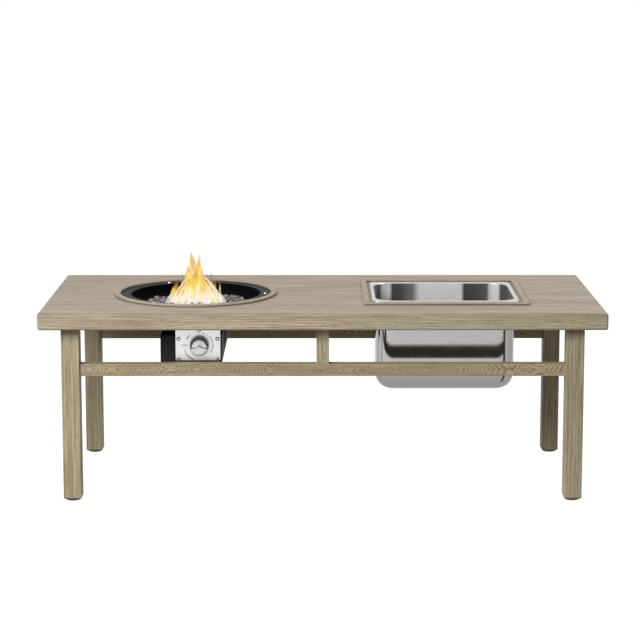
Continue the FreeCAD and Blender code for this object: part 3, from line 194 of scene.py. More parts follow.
# One plan for the plainer finishes: a colour that wanders between two tones, roughness that wanders
# too, and a low relief. Each starts from the real material and how its surface was made.
# Two tones, grain in mm, roughness, metallic, relief in mm, then shine and stretch if it has them
finishes = {
    # heat-proof black stove paint, sprayed and baked on pressed steel: deep black with a low satin sheen
    "stovePaint": ("#0f0f0e", "#171715", 1.6, (0.42, 0.54), 0.0, 0.05, 0.06),
    # the same paint inside the bowl, darkened to dead black: painted shade in the bowl's hollow
    "shadedBowlPaint": ("#040404", "#0a0a09", 3, (0.6, 0.75), 0.0, 0.05, 0.03),
    # black powder coat of the control box: a shade greyer and duller
    "powderCoat": ("#201e1e", "#292727", 1.2, (0.5, 0.6), 0.0, 0.06, 0.1),
    # the bucket's flange, polished once more
    "brightStainless": ("#adaaa7", "#b8b5b2", 20, (0.08, 0.14), 1.0, 0),
    # stainless sheet, belt brushed along its length: bright, with hair lines that streak the light
    "brushedStainless": ("#d3d2d1", "#dedddc", 0.9, (0.3, 0.42), 1.0, 0.03, None, (0.03, 1, 1)),
    # bright nickel-chrome plating on steel: mirror bright
    "chromePlate": ("#dcdcdc", "#e8e8e6", 6, (0.05, 0.1), 1.0, 0),
    # satin chrome on die-cast zinc, dulled until it hardly mirrors: bright and soft
    "satinChrome": ("#c6c9cc", "#d0d3d6", 5, (0.3, 0.38), 0.2, 0),
    # the knob's dish, turned bright and lacquered: nearly white
    "lacqueredDish": ("#eceef0", "#ffffff", 14, (0.3, 0.4), 0.2, 0),
    # chrome darkened as a painted dark reflection, on the knob's upper rim and the faceplate screws'
    # edges: dark, smoky and glossy
    "darkReflectionChrome": ("#343536", "#464748", 6, (0.16, 0.26), 1.0, 0),
    # zinc plating on cut steel sheet: blue-grey, mottled by its crystals
    "zincPlate": ("#9fa3a6", "#bfc2c3", 4, (0.3, 0.45), 1.0, 0.02),
    # aluminium, pressure die cast: dull pale grey with a fine skin
    "castAluminium": ("#a4a5a6", "#b9babb", 1.2, (0.42, 0.55), 1.0, 0.08),
    # aluminium tube, drawn: pale, with draw lines along it
    "drawnAluminium": ("#c8c9ca", "#d9d9d9", 1.5, (0.22, 0.32), 1.0, 0.02, None, (1, 0.1, 1)),
    # brass, turned: warm yellow with fine tool rings
    "turnedBrass": ("#b8935a", "#cfae74", 0.8, (0.2, 0.32), 1.0, 0.03),
    # spring wire, drawn and oiled: dark bright grey
    "springWire": ("#7c7b78", "#94928e", 1, (0.22, 0.3), 1.0, 0.01),
    # stainless burner, tinted by heat: straw and brown patches on grey
    "heatTintedSteel": ("#5d5045", "#8d8577", 18, (0.35, 0.5), 1.0, 0.03),
    # pressed mineral fibre, die cut: matt dark grey, hairy
    "fibreGasket": ("#2b2927", "#413e3a", 0.9, (0.85, 0.95), 0.0, 0.15),
    # polypropylene, moulded: matt black with a fine spark texture
    "mouldedPolypropylene": ("#161616", "#202020", 0.7, (0.5, 0.62), 0.0, 0.05),
    # silicone sleeve, extruded: dull brick red
    "siliconeSleeve": ("#7d2218", "#93301f", 2, (0.45, 0.6), 0.0, 0.02),
    # steatite ceramic, fired and unglazed: warm white and chalky
    "firedCeramic": ("#e0dbd0", "#ece8df", 1.5, (0.6, 0.75), 0.0, 0.03),
    # screen-printed enamel ink: flat black or dark red, slightly raised
    "blackInk": ("#1b1d21", "#26282c", 0.8, (0.45, 0.55), 0.0, 0.01),
    "redInk": ("#6f222e", "#7f2a36", 0.8, (0.45, 0.55), 0.0, 0.01),
}


def plainFinish(name, dark, pale, grain, roughness, metallic, relief, shine=None, stretch=(1, 1, 1)):
    add, place = newMaterial(name)
    wander = clouds(add, place, [grain * mm / share for share in stretch], 3.0)
    colour = add("ValToRGB", {"Fac": wander}, [(0.35, dark), (0.65, pale)])
    rough = add("MapRange", {
        "Value": wander, "From Min": 0.3, "From Max": 0.7, "To Min": roughness[0], "To Max": roughness[1]})
    inputs = {"Base Color": colour, "Roughness": rough, "Metallic": metallic}
    if shine:
        inputs["Specular IOR Level"] = shine
    if relief:
        inputs["Normal"] = add("Bump", {"Strength": 0.6, "Distance": relief * mm, "Height": wander})
    closeMaterial(add, inputs)


for finishName, finishLook in finishes.items():
    plainFinish(finishName, *finishLook)


# Basalt lava, broken and tumbled: dark grey chips, matt, pitted, paler on their broken edges
def lavaBasalt():
    look = {"chip": 9 * mm, "pit": 2.2 * mm, "fire": 86 * mm, "fireMiddle": (-355 * mm, -6 * mm)}
    add, place = newMaterial("lavaBasalt")
    chips = add("TexVoronoi", {"Vector": place, "Scale": 1 / look["chip"]})
    pits = add("TexNoise", {"Vector": place, "Scale": 1 / look["pit"], "Detail": 5.0})
    tone = add("Math", {0: chips, 1: pits}, operation="MULTIPLY")
    colour = add("ValToRGB", {"Fac": tone}, [(0.06, "#242324"), (0.22, "#545356"), (0.4, "#939296")])
    bump = add("Bump", {"Strength": 0.8, "Distance": 0.6 * mm, "Height": pits})
    # painted light: stones under the flames glow white-pink as if lit by them, with dark pits left
    inFire = add("Mapping", {
        "Vector": place, "Location": [-middle / look["fire"] for middle in look["fireMiddle"]] + [0],
        "Scale": (1 / look["fire"], 1 / look["fire"], 0)})
    away = add("VectorMath", {0: inFire}, operation="LENGTH")
    heat = add("MapRange", {"Value": away, "From Min": 1.0, "From Max": 0.75})
    lit = add("ValToRGB", {"Fac": tone}, [
        (0.05, "#3a2420"), (0.12, "#7c5a50"), (0.17, "#efc5b4"), (0.26, "#fff0ea"), (0.4, "#ffffff")])
    closeMaterial(add, {"Base Color": colour, "Roughness": 0.72, "Emission Color": lit,
                        "Emission Strength": heat, "Normal": bump})


# Burning gas: glows, white-pink at its foot and in its hot streaks, yellow in the middle, orange above
# and at the sides, with smoky brown tips; its wisps leave gaps that show what is behind
def burningGas():
    look = {"wisp": 14 * mm, "wispHeight": 48 * mm, "gap": 9 * mm, "gapHeight": 60 * mm, "flicker": 0.34,
            "hot": "#fff4f0", "hotCover": 0.75}
    add, place = newMaterial("burningGas")
    rise = add("Attribute", attribute_name="rise").outputs["Fac"]
    hot = add("Attribute", attribute_name="hot").outputs["Fac"]
    wisps, holes = [clouds(add, place, (look[kind], look[kind], look[kind + "Height"]), 3.0, 0.9)
                    for kind in ("wisp", "gap")]
    shifted = add("MapRange", {"Value": wisps, "From Min": 0.3, "From Max": 0.7,
                               "To Min": -look["flicker"], "To Max": look["flicker"]})
    heat = add("Math", {0: rise, 1: shifted}, operation="ADD")
    colour = add("ValToRGB", {"Fac": heat}, [
        (0.0, "#fff0ec"), (0.2, "#fff1de"), (0.33, "#fbf0a0"), (0.5, "#f9e468"), (0.66, "#f5c557"),
        (0.8, "#e8a04a"), (0.93, "#b4785a"), (1.0, "#857268")])
    flame = add("Mix", {0: hot, 6: colour, 7: linear(look["hot"])}, data_type="RGBA")
    thin = add("ValToRGB", {"Fac": heat}, [
        (0.0, 0.3), (0.16, 0.5), (0.3, 0.8), (0.6, 0.85), (0.8, 0.72), (0.92, 0.5), (1.0, 0.25)])
    gaps = add("MapRange", {"Value": holes, "From Min": 0.4, "From Max": 0.52, "To Min": 0.25})
    cover = add("Math", {0: thin, 1: gaps}, operation="MULTIPLY")
    streak = add("Math", {0: hot, 1: look["hotCover"]}, operation="MULTIPLY")
    cover = add("Math", {0: cover, 1: streak}, operation="MAXIMUM")
    closeMaterial(add, {"Base Color": (0, 0, 0, 1), "Roughness": 1.0, "Specular IOR Level": 0.0,
                        "Emission Color": flame, "Emission Strength": 1.0, "Alpha": cover})


# Closes a steel whose roughness wanders with its polisher's haze
def closeSteel(add, place, colour, haze, roughness, metallic):
    cloud = add("TexNoise", {"Vector": place, "Scale": haze, "Detail": 2.0})
    rough = add("MapRange", {
        "Value": cloud, "From Min": 0.3, "From Max": 0.7, "To Min": roughness[0], "To Max": roughness[1]})
    closeMaterial(add, {"Base Color": colour, "Roughness": rough, "Metallic": metallic})


# Outside of the ice bucket, drawn stainless, mirror polished: pale grey with clear reflections, and
# painted shade that darkens it round its right end and its base
def polishedStainless():
    look = {"base": (300 * mm, 352 * mm), "side": (522 * mm, 500 * mm), "pale": "#a7a7a8", "dark": "#8b8b8c"}
    add, place = newMaterial("polishedStainless")
    spot = add("SeparateXYZ", {0: place}).outputs
    up, out = [add("MapRange", {"Value": spot[axis], "From Min": look[zone][0], "From Max": look[zone][1]})
               for axis, zone in (("Z", "base"), ("X", "side"))]
    # painted shade: the steel darkens towards its right end and its base
    share = add("Math", {0: up, 1: out}, operation="MULTIPLY")
    colour = add("Mix", {0: share, 6: linear(look["dark"]), 7: linear(look["pale"])}, data_type="RGBA")
    closeSteel(add, place, colour, 30.0, (0.07, 0.12), 1.0)


# Inside of the ice bucket, drawn stainless with a polisher's haze: pale, with soft dark upright bands
# painted on its walls as reflections of the room; the floor keeps plain
def hazedStainless():
    look = {"left": 147.7 * mm, "right": 531.3 * mm, "floor": (330 * mm, 400 * mm), "plain": "#b4b4b5"}
    add, place = newMaterial("hazedStainless")
    spot = add("SeparateXYZ", {0: place}).outputs
    across = add("MapRange", {"Value": spot["X"], "From Min": look["left"], "From Max": look["right"]})
    # painted reflection: soft dark upright bands along the walls, fading out towards the floor
    paintedReflectionBands = add("ValToRGB", {"Fac": across}, [
        (0.0, 0.4), (0.045, 0.1), (0.068, 0.74), (0.122, 0.7), (0.145, 0.06), (0.205, 0.07), (0.3, 0.2),
        (0.35, 0.76), (0.665, 0.8), (0.687, 0.06), (0.78, 0.09), (0.86, 0.14), (0.88, 0.72), (0.945, 0.8),
        (0.958, 0.12), (1.0, 0.07)])
    rise = add("MapRange", {"Value": spot["Z"], "From Min": look["floor"][0], "From Max": look["floor"][1]})
    colour = add("Mix", {0: rise, 6: linear(look["plain"]), 7: paintedReflectionBands}, data_type="RGBA")
    closeSteel(add, place, colour, 40.0, (0.3, 0.4), 0.45)


polishedStainless()
hazedStainless()
lavaBasalt()
burningGas()
print("made", len(materials), "finishes")

# Tones of the oak in each kind of place
fasciaTone = {"light": "#c3b69c", "body": "#b1a38a", "shade": "#95876e", "ringLine": "#74674f", "rings": 0.55,
              "poreLine": "#76684d", "wander": (34 * mm, 330 * mm), "ring": 5.2 * mm, "warp": 5.0}
stretcherTone = {"light": "#bcac91", "body": "#ab9b81", "shade": "#958469", "ringLine": "#695739",
                 "rings": 0.85, "poreLine": "#7d6d53", "wander": (320 * mm, 240 * mm), "ring": 4.0 * mm,
                 "squash": 2.3, "warp": 13.0}
legTone = {"light": "#bfb193", "body": "#a89a7e", "shade": "#877a5f", "ringLine": "#74664e", "rings": 0.45,
           "poreLine": "#73654c", "ring": 9.5 * mm, "warp": 7.0, "streak": 5 * mm, "streakLength": 120 * mm}
# the back left leg's tones, darkened: painted shade from the slab above
paintedShadeLegTone = {**legTone, "light": "#b2a489", "body": "#9b8e74", "shade": "#7d7158"}
deckTone = {"light": "#aaa090", "body": "#9c907f", "shade": "#877b6b", "rings": 0.25, "ring": 26 * mm,
            "streak": 8 * mm, "streakLength": 150 * mm, "pore": 6 * mm, "poreLength": 36 * mm,
            "drift": 45 * mm}
trimTone = {"light": "#aca18d", "body": "#9f9380", "shade": "#8d826f", "ringLine": "#7b705c", "rings": 0.3}
# painted shade: a dark band along the foot of each trim's walls, where it stands on the deck
trimFootShade = [(525.7 * mm, 1.9 * mm, 0.8, "#4c4232")]
panelLow = 515.5 * mm  # on the slab's side, the panel's edge looks like the boards below this height
# upper line: painted shade along the deck's rounded top edge; lower line: the panel's joint with the boards
deckEdgeShadeAndJoint = [(522.6 * mm, 1.1 * mm, 0.6, "#665a47"), (panelLow, 0.5 * mm, 0.45, "#665a47")]


# One board: the way its grain runs, where its log's middle lies, and its tones
def board(along, shift, tone):
    return {**oak, "along": along, "shift": shift, **tone}


# Puts a finish on a CAD node
def dress(node, name):
    cadNodes[node].data.materials.clear()
    cadNodes[node].data.materials.append(materials[name])


frontBoard = board("X", (0.4, 0.27, -0.435), fasciaTone)
woodPlan = {
    "front_edge_board": frontBoard,
    "back_edge_board": board("X", (1.4, -0.27, -0.435), fasciaTone),
    "left_edge_board": board("Y", (0.7, -0.70, -0.435), fasciaTone),
    "right_edge_board": board("Y", (2.3, 0.70, -0.435), fasciaTone),
    "left_batten": board("Y", (3.1, 0.15, -0.6), {}),
    "right_batten": board("Y", (3.9, -0.02, -0.6), {}),
    "front_left_leg": board("Z", (0.3, 0.27, -0.85), legTone),
    "front_right_leg": board("Z", (1.9, 0.29, 0.86), legTone),
    "back_left_leg": board("Z", (2.9, -0.25, -0.86), paintedShadeLegTone),
    "back_right_leg": board("Z", (4.1, -0.28, 0.85), legTone),
    "front_stretcher": board("X", (0.07, 0.205, -0.3625), stretcherTone),
    "back_stretcher": board("X", (2.0, -0.205, -0.3625), stretcherTone),
    "front_centre_post": board("Z", (0.9, 0.262, 0.11), legTone),
    "back_centre_post": board("Z", (1.7, -0.262, 0.11), legTone),
    "stretcher_dowels": board("X", (2.6, 0.27, -0.35), {}),
}
weatheredOak("oakDeckPanel", board("X", (0.1, 0.21, -0.44), deckTone), (panelLow, frontBoard), deckEdgeShadeAndJoint)
dress("deck_panel", "oakDeckPanel")
for node, plan in woodPlan.items():
    oakName = "oak" + node.title().replace("_", "")
    weatheredOak(oakName, plan)
    dress(node, oakName)

# The other CAD nodes that keep their own shape, under their finish
dressed = {
    "mouldedPolypropylene": ["foot_pads", "igniter_module"],
    "zincPlate": ["leg_brackets", "burner_lock_nut", "air_mixer_tube", "valve_plate"],
    "fibreGasket": ["bowl_gasket"],
    "stovePaint": ["tapered_underbody", "box_hangers"],
    "heatTintedSteel": ["burner"],
    "turnedBrass": ["gas_jet", "gas_inlet_fitting", "thrust_collar", "valve_stem"],
    "drawnAluminium": ["gas_tube"],
    "brushedStainless": ["faceplate"],
    "powderCoat": ["control_box"],
    "castAluminium": ["gas_valve"],
    "firedCeramic": ["igniter_electrode"],
    "siliconeSleeve": ["ignition_lead"],
}
for finish, nodes in dressed.items():
    for node in nodes:
        dress(node, finish)
print("dressed", 1 + len(woodPlan) + sum(len(nodes) for nodes in dressed.values()), "CAD nodes")


def newObject(name, data):
    thing = bpy.data.objects.new(name, data)
    scene.collection.objects.link(thing)
    return thing


# Turns a bmesh into mesh data
def asData(mesh, name):
    data = bpy.data.meshes.new(name)
    mesh.to_mesh(data)
    mesh.free()
    return data


# Mesh data of an object with its modifiers or its letters worked out; the object goes
def workedOut(thing):
    bpy.context.view_layer.update()
    data = bpy.data.meshes.new_from_object(thing.evaluated_get(bpy.context.evaluated_depsgraph_get()))
    bpy.data.objects.remove(thing)
    return data


# Adds a copy of mesh data to a bmesh and tells its vertices
def addShape(mesh, shape):
    before = set(mesh.verts)
    mesh.from_mesh(shape)
    return [vert for vert in mesh.verts if vert not in before]


# Turns a finished bmesh into a piece that rides on a body and may stand in for CAD nodes
def finishPiece(mesh, name, body, finish, replaced=(), sharpAngle=40):
    data = asData(mesh, name)
    for polygon in data.polygons:
        polygon.use_smooth = True
    data.set_sharp_from_angle(angle=math.radians(sharpAngle))
    piece = newObject(name, data)
    for each in finish:
        data.materials.append(materials[each])
    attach(piece, body)
    if replaced:
        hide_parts(*replaced)
    return piece


# Even shading over flats and roundings
def evenShade(piece):
    even = piece.modifiers.new("evenShade", "WEIGHTED_NORMAL")
    even.keep_sharp = True


def giveSheet(piece, thickness):
    wall = piece.modifiers.new("sheet", "SOLIDIFY")
    wall.thickness = thickness
    wall.offset = -1
    wall.use_even_offset = True
    evenShade(piece)
    return wall


# Edges that lie flat at a height, where the test holds at both ends
def edgesAt(mesh, height, test=lambda spot: True):
    return [edge for edge in mesh.edges
            if all(abs(vert.co.z - height) < near and test(vert.co) for vert in edge.verts)]


# Edges that climb from one height to another
def uprights(mesh):
    return [edge for edge in mesh.edges if abs(edge.verts[0].co.z - edge.verts[1].co.z) > near]


def bevelEdges(mesh, edges, offset, segments):
    bmesh.ops.bevel(mesh, geom=edges, offset=offset, offset_type="OFFSET", segments=segments, profile=0.5,
                    affect="EDGES", material=-1)


def vertsIn(items):
    return [item for item in items if isinstance(item, bmesh.types.BMVert)]


def shift(mesh, items, vec):
    bmesh.ops.translate(mesh, verts=vertsIn(items), vec=vec)


def upwards(mesh):
    bmesh.ops.recalc_face_normals(mesh, faces=mesh.faces)


# Carries verts and edges round an axis through the origin, and along it by rise at each step
def sweepRound(mesh, geom, axis, angle, steps, rise=0.0, merge=False):
    bmesh.ops.spin(mesh, geom=geom, cent=(0, 0, 0), axis=axis, dvec=Vector(axis) * rise, angle=angle,
                   steps=steps, use_merge=merge, use_normal_flip=False, use_duplicate=False)


# Turns a line of (radius, height) corners into a round shell about the upright axis
def spinLine(mesh, corners, steps, closed=False):
    verts = [mesh.verts.new((radius, 0, height)) for radius, height in corners]
    ends = verts[1:] + verts[:1] if closed else verts[1:]
    edges = [mesh.edges.new(pair) for pair in zip(verts, ends)]
    sweepRound(mesh, verts + edges, (0, 0, 1), 2 * math.pi, steps, merge=True)


def radiusOf(spot):
    return math.hypot(spot.x, spot.y)


# The pressed fire bowl: flange, rounded mouth, straight wall and a wide rounding into the floor
fireBowl = {"axis": (-357 * mm, -6 * mm), "radius": 180 * mm, "flange": 31 * mm, "floor": 482 * mm,
            "top": 526 * mm, "neck": 8.65 * mm, "corner": 28 * mm, "mouth": 3 * mm, "sheet": 1.2 * mm,
            "steps": 96}


def makeFireBowl(look):
    mesh = bmesh.new()
    wide = look["radius"] + look["flange"]
    spinLine(mesh, [(look["neck"], look["floor"]), (look["radius"], look["floor"]),
                    (look["radius"], look["top"]), (wide, look["top"])], look["steps"])
    upwards(mesh)
    if sum(face.normal.z for face in mesh.faces) < 0:
        bmesh.ops.reverse_faces(mesh, faces=mesh.faces)
    for height, offset, segments in ((look["floor"], look["corner"], 9), (look["top"], look["mouth"], 4)):
        ring = edgesAt(mesh, height, lambda spot: abs(radiusOf(spot) - look["radius"]) < near)
        bevelEdges(mesh, ring, offset, segments)
    # below the flange the bowl takes the darker paint: painted shade in its hollow
    for face in mesh.faces:
        face.material_index = 1 if face.calc_center_median().z < look["top"] - near else 0
    shift(mesh, mesh.verts, (*look["axis"], 0))
    giveSheet(finishPiece(mesh, "fireBowlShell", "table", ["stovePaint", "shadedBowlPaint"],
                          ["fire_bowl"]), look["sheet"])


makeFireBowl(fireBowl)

# Wood trim round the bowl: one bent band with eased upper edges
ringTrim = {"inner": 212 * mm, "outer": 227.5 * mm, "low": 524 * mm, "high": 531.2 * mm, "ease": 1.5 * mm,
            "steps": 128}


def makeRingTrim(look):
    mesh = bmesh.new()
    spinLine(mesh, [(look["inner"], look["low"]), (look["outer"], look["low"]),
                    (look["outer"], look["high"]), (look["inner"], look["high"])], look["steps"], True)
    upwards(mesh)
    rims = [edge for edge in edgesAt(mesh, look["high"])
            if abs(radiusOf(edge.verts[0].co) - radiusOf(edge.verts[1].co)) < near]
    bevelEdges(mesh, rims, look["ease"], 3)
    shift(mesh, mesh.verts, (*fireBowl["axis"], 0))
    weatheredOak("oakRingTrim", board("X", (0.5, 0.25, -0.47), trimTone), joints=trimFootShade)
    finishPiece(mesh, "fireRingTrim", "table", ["oakRingTrim"], ["fire_ring_trim"])


makeRingTrim(ringTrim)

# Wood trim round the bucket: four mitred rails
frameTrim = {"centre": (339.5 * mm, 0), "length": 453 * mm, "width": 402 * mm, "rail": 15.5 * mm,
             "low": 524 * mm, "high": 531.2 * mm, "corner": 4 * mm, "ease": 1.2 * mm}


def makeFrameTrim(look):
    mesh = bmesh.new()
    bmesh.ops.create_grid(mesh, x_segments=1, y_segments=1, size=0.5)
    bmesh.ops.scale(mesh, verts=mesh.verts, vec=(look["length"], look["width"], 1))
    middle = mesh.faces[:]
    bmesh.ops.inset_region(mesh, faces=middle, thickness=look["rail"], use_boundary=True,
                           use_even_offset=True)
    bmesh.ops.delete(mesh, geom=middle, context="FACES_ONLY")
    for face in mesh.faces:
        away = abs(face.calc_center_median().y)
        face.material_index = 0 if away > look["width"] / 2 - look["rail"] else 1
    grown = bmesh.ops.extrude_face_region(mesh, geom=mesh.faces[:])["geom"]
    shift(mesh, grown, (0, 0, look["high"] - look["low"]))
    shift(mesh, mesh.verts, (*look["centre"], look["low"]))
    upwards(mesh)
    corners = [edge for edge in uprights(mesh) if abs(edge.verts[0].co.y) > look["width"] / 2 - near]
    bevelEdges(mesh, corners, look["corner"], 4)
    rims = [edge for edge in edgesAt(mesh, look["high"]) if edge.calc_face_angle(0) > 1]
    bevelEdges(mesh, rims, look["ease"], 2)
    weatheredOak("oakFrameRails", board("X", (0.9, 0.31, -0.47), trimTone), joints=trimFootShade)
    weatheredOak("oakFrameEnds", board("Y", (1.3, 0.31, -0.47), trimTone))
    finishPiece(mesh, "bucketFrameTrim", "table", ["oakFrameRails", "oakFrameEnds"],
                ["bucket_trim_frame"])


makeFrameTrim(frameTrim)

# The drawn ice bucket: deep tub, flat flange with a turned-down lip
iceBucket = {"centre": (339.5 * mm, 0), "length": 383.6 * mm, "width": 295.6 * mm, "floor": 273.2 * mm,
             "top": 528.5 * mm, "corner": 50.8 * mm, "base": 43.8 * mm, "rimLength": 406 * mm,
             "rimWidth": 332 * mm, "rimCorner": 20 * mm, "lip": 4.2 * mm, "mouth": 3.2 * mm,
             "lipRound": 1.4 * mm, "sheet": 1.2 * mm}


def makeIceBucket(look):
    mesh = bmesh.new()
    bmesh.ops.create_cube(mesh, size=1.0)
    tall = look["top"] - look["floor"]
    bmesh.ops.scale(mesh, verts=mesh.verts, vec=(look["length"], look["width"], tall))
    shift(mesh, mesh.verts, (0, 0, look["floor"] + tall / 2))
    lid = [face for face in mesh.faces if face.normal.z > 0.5]
    bmesh.ops.delete(mesh, geom=lid, context="FACES_ONLY")
    bevelEdges(mesh, uprights(mesh), look["corner"], 12)
    bevelEdges(mesh, edgesAt(mesh, look["floor"]), look["base"], 10)
    bmesh.ops.reverse_faces(mesh, faces=mesh.faces)  # the inner face is the modelled one
    mouth = [edge for edge in mesh.edges if edge.is_boundary]
    grown = bmesh.ops.extrude_edge_only(mesh, edges=mouth)["geom"]
    middle = Vector((look["length"] / 2 - look["corner"], look["width"] / 2 - look["corner"]))
    outer = Vector((look["rimLength"] / 2 - look["rimCorner"], look["rimWidth"] / 2 - look["rimCorner"]))
    for vert in vertsIn(grown):
        sideX, sideY = math.copysign(1, vert.co.x), math.copysign(1, vert.co.y)
        turn = Vector((vert.co.x - sideX * middle.x, vert.co.y - sideY * middle.y)).normalized()
        vert.co.x = sideX * outer.x + turn.x * look["rimCorner"]
        vert.co.y = sideY * outer.y + turn.y * look["rimCorner"]
    rim = [item for item in grown if isinstance(item, bmesh.types.BMEdge) and item.is_boundary]
    shift(mesh, bmesh.ops.extrude_edge_only(mesh, edges=rim)["geom"], (0, 0, -look["lip"]))
    bevelEdges(mesh, mouth, look["mouth"], 4)
    bevelEdges(mesh, [edge for edge in rim if edge.is_valid], look["lipRound"], 3)
    for face in mesh.faces:
        onFlange = face.calc_center_median().z > look["top"] - look["mouth"] / 2
        reach = max(abs(vert.co.x) for vert in face.verts)
        if onFlange or face.normal.z < 0.2 and reach > look["length"] / 2 + look["mouth"]:
            face.material_index = 2
    shift(mesh, mesh.verts, (*look["centre"], 0))
    # inside and outside of the tub, then inside and outside of the flange
    finish = ["hazedStainless", "polishedStainless", "brightStainless", "polishedStainless"]
    piece = finishPiece(mesh, "iceBucketShell", "bucket", finish, ["ice_bucket"])
    giveSheet(piece, look["sheet"]).material_offset = 1


makeIceBucket(iceBucket)
print("made the bowl, the bucket and the trims")

# Lava stones, one rough layer that keeps clear of the burner
lavaBed = {"count": 420, "tries": 30, "reach": 152 * mm, "floor": 482.4 * mm, "top": 502 * mm,
           "size": (9.5 * mm, 12.5 * mm), "ringRadius": 70 * mm, "ringTube": 7 * mm, "spoke": 5 * mm,
           "hub": 16 * mm, "electrode": (0, -29 * mm), "electrodeRadius": 5 * mm, "overlap": 0.88,
           "lumps": 1.7, "rough": 0.48, "grit": 0.05, "flatness": (0.72, 0.9), "seed": 11}


def clearOfBurner(look, x, y, size):
    radius = math.hypot(x, y)
    ring = abs(radius - look["ringRadius"]) > look["ringTube"] + size * 0.9
    spoke = radius > look["ringRadius"] or abs(y) > look["spoke"] + size and not (
        y > 0 and abs(x) < look["spoke"] + size)
    rod = math.hypot(x - look["electrode"][0], y - look["electrode"][1]) > look["electrodeRadius"] + size
    return ring and spoke and rod and radius > look["hub"] + size


def makeLavaStones(look):
    rng = random.Random(look["seed"])
    mesh = bmesh.new()
    laid = []
    for attempt in range(look["count"] * look["tries"]):
        size = rng.uniform(*look["size"])
        radius = (look["reach"] - size * 0.4) * math.sqrt(rng.random())
        turn = rng.uniform(0, 2 * math.pi)
        x, y = radius * math.cos(turn), radius * math.sin(turn)
        if not clearOfBurner(look, x, y, size):
            continue
        if any(math.hypot(x - px, y - py) < (size + ps) * look["overlap"] for px, py, ps in laid):
            continue
        laid.append((x, y, size))
        stone = bmesh.ops.create_icosphere(mesh, subdivisions=2, radius=size)["verts"]
        offset = Vector((rng.random(), rng.random(), rng.random())) * 90
        for vert in stone:
            push = noiseField.noise(vert.co.normalized() * look["lumps"] + offset)
            vert.co *= 1 + look["rough"] * push + rng.uniform(-look["grit"], look["grit"])
        spin = Matrix.Rotation(rng.uniform(0, math.pi), 3, (rng.random(), rng.random(), rng.random() + 0.1))
        bmesh.ops.rotate(mesh, verts=stone, cent=(0, 0, 0), matrix=spin)
        bmesh.ops.scale(mesh, verts=stone, vec=(1, 1, rng.uniform(*look["flatness"])))
        low = min(vert.co.z for vert in stone)
        high = max(vert.co.z for vert in stone)
        squeeze = min(1, (look["top"] - look["floor"]) / (high - low))
        bmesh.ops.scale(mesh, verts=stone, vec=(1, 1, squeeze))
        shift(mesh, stone, (x + fireBowl["axis"][0], y + fireBowl["axis"][1], look["floor"] - low * squeeze))
    print("laid", len(laid), "lava stones")
    finishPiece(mesh, "lavaStones", "table", ["lavaBasalt"], ["lava_rocks"], 25)


makeLavaStones(lavaBed)

# The fire: licks of burning gas, in millimetres about the bowl's axis
fire = {
    "foot": 496 * mm, "levels": 12, "sides": 12, "flatness": 0.62, "twist": 1.1, "thinnest": 0.4,
    "bends": 4.2, "leaning": 1.4,  # how often a lick sways, and how late it starts to lean
    "hotBelow": 0.3,  # licks with less heat than this are white-hot streaks
    "outline": (0.55, 0.82, 0.97, 1.0, 0.97, 0.91, 0.83, 0.74, 0.64, 0.53, 0.4, 0.24, 0.02),
    # foot x, foot y, height, half width, lean x, lean y, sway, heat
    "licks": [
        (-5, 0, 148, 20, -4, 2, 5, 1.0), (6, 2, 142, 19, 1, -2, -5, 1.0),  # the two tall tongues
        (-16, -2, 108, 15, -4, 0, 6, 1.0), (17, -2, 104, 15, 2, 2, -5, 1.0),
        (1, -8, 92, 24, 0, 4, 4, 0.85), (0, 10, 108, 22, 0, 0, 5, 0.95),
        (-26, -6, 82, 13, 12, 0, 6, 1.0), (28, -6, 80, 13, -10, 0, -6, 1.0),
        (-68, -12, 92, 5.5, 60, 4, 2, 0.1), (72, -12, 86, 8, -54, 4, -2, 0.1),  # streaks up both slopes
        (-56, -16, 62, 5, 30, 4, 3, 0.15), (58, -16, 70, 7, -34, 4, -3, 0.15),
        (-36, -18, 52, 5, 12, 2, 4, 0.2), (38, -18, 54, 6, -14, 2, -4, 0.2),
        (-58, 6, 76, 8, 12, 0, 6, 1.6), (-46, 10, 92, 8, 8, 0, -6, 1.5),  # orange tongues at the sides
        (-68, 2, 62, 8, 10, 0, 5, 1.4), (-34, 14, 90, 8, 2, 0, 5, 1.5),
        (42, 10, 94, 8, -2, 0, 6, 1.6), (56, 6, 82, 7, -6, 0, -5, 1.5),
        (70, 2, 62, 6, -8, 0, -4, 1.4), (32, 16, 88, 8, -2, 0, -5, 1.5),
        (-78, -8, 32, 9, 10, 0, 2, 0.8), (80, -8, 30, 9, -10, 0, -2, 0.6),
        (-66, -26, 26, 12, 10, 6, 3, 0.5), (68, -26, 28, 12, -10, 6, -3, 0.4),
        (-44, -32, 30, 12, 8, 8, 3, 0.6), (48, -32, 32, 12, -8, 8, -3, 0.4),
        (-22, -26, 36, 13, 3, 6, 3, 0.6), (24, -26, 36, 13, -3, 6, -3, 0.6), (1, -30, 32, 13, 0, 6, 2, 0.5),
        (-14, 34, 66, 15, 2, -4, 4, 1.3), (16, 36, 64, 15, -2, -4, -4, 1.3), (0, 56, 46, 13, 0, -6, 3, 1.3),
        (-38, 40, 44, 11, 4, -3, 3, 1.4), (40, 40, 46, 11, -4, -3, -3, 1.4),
    ],
}


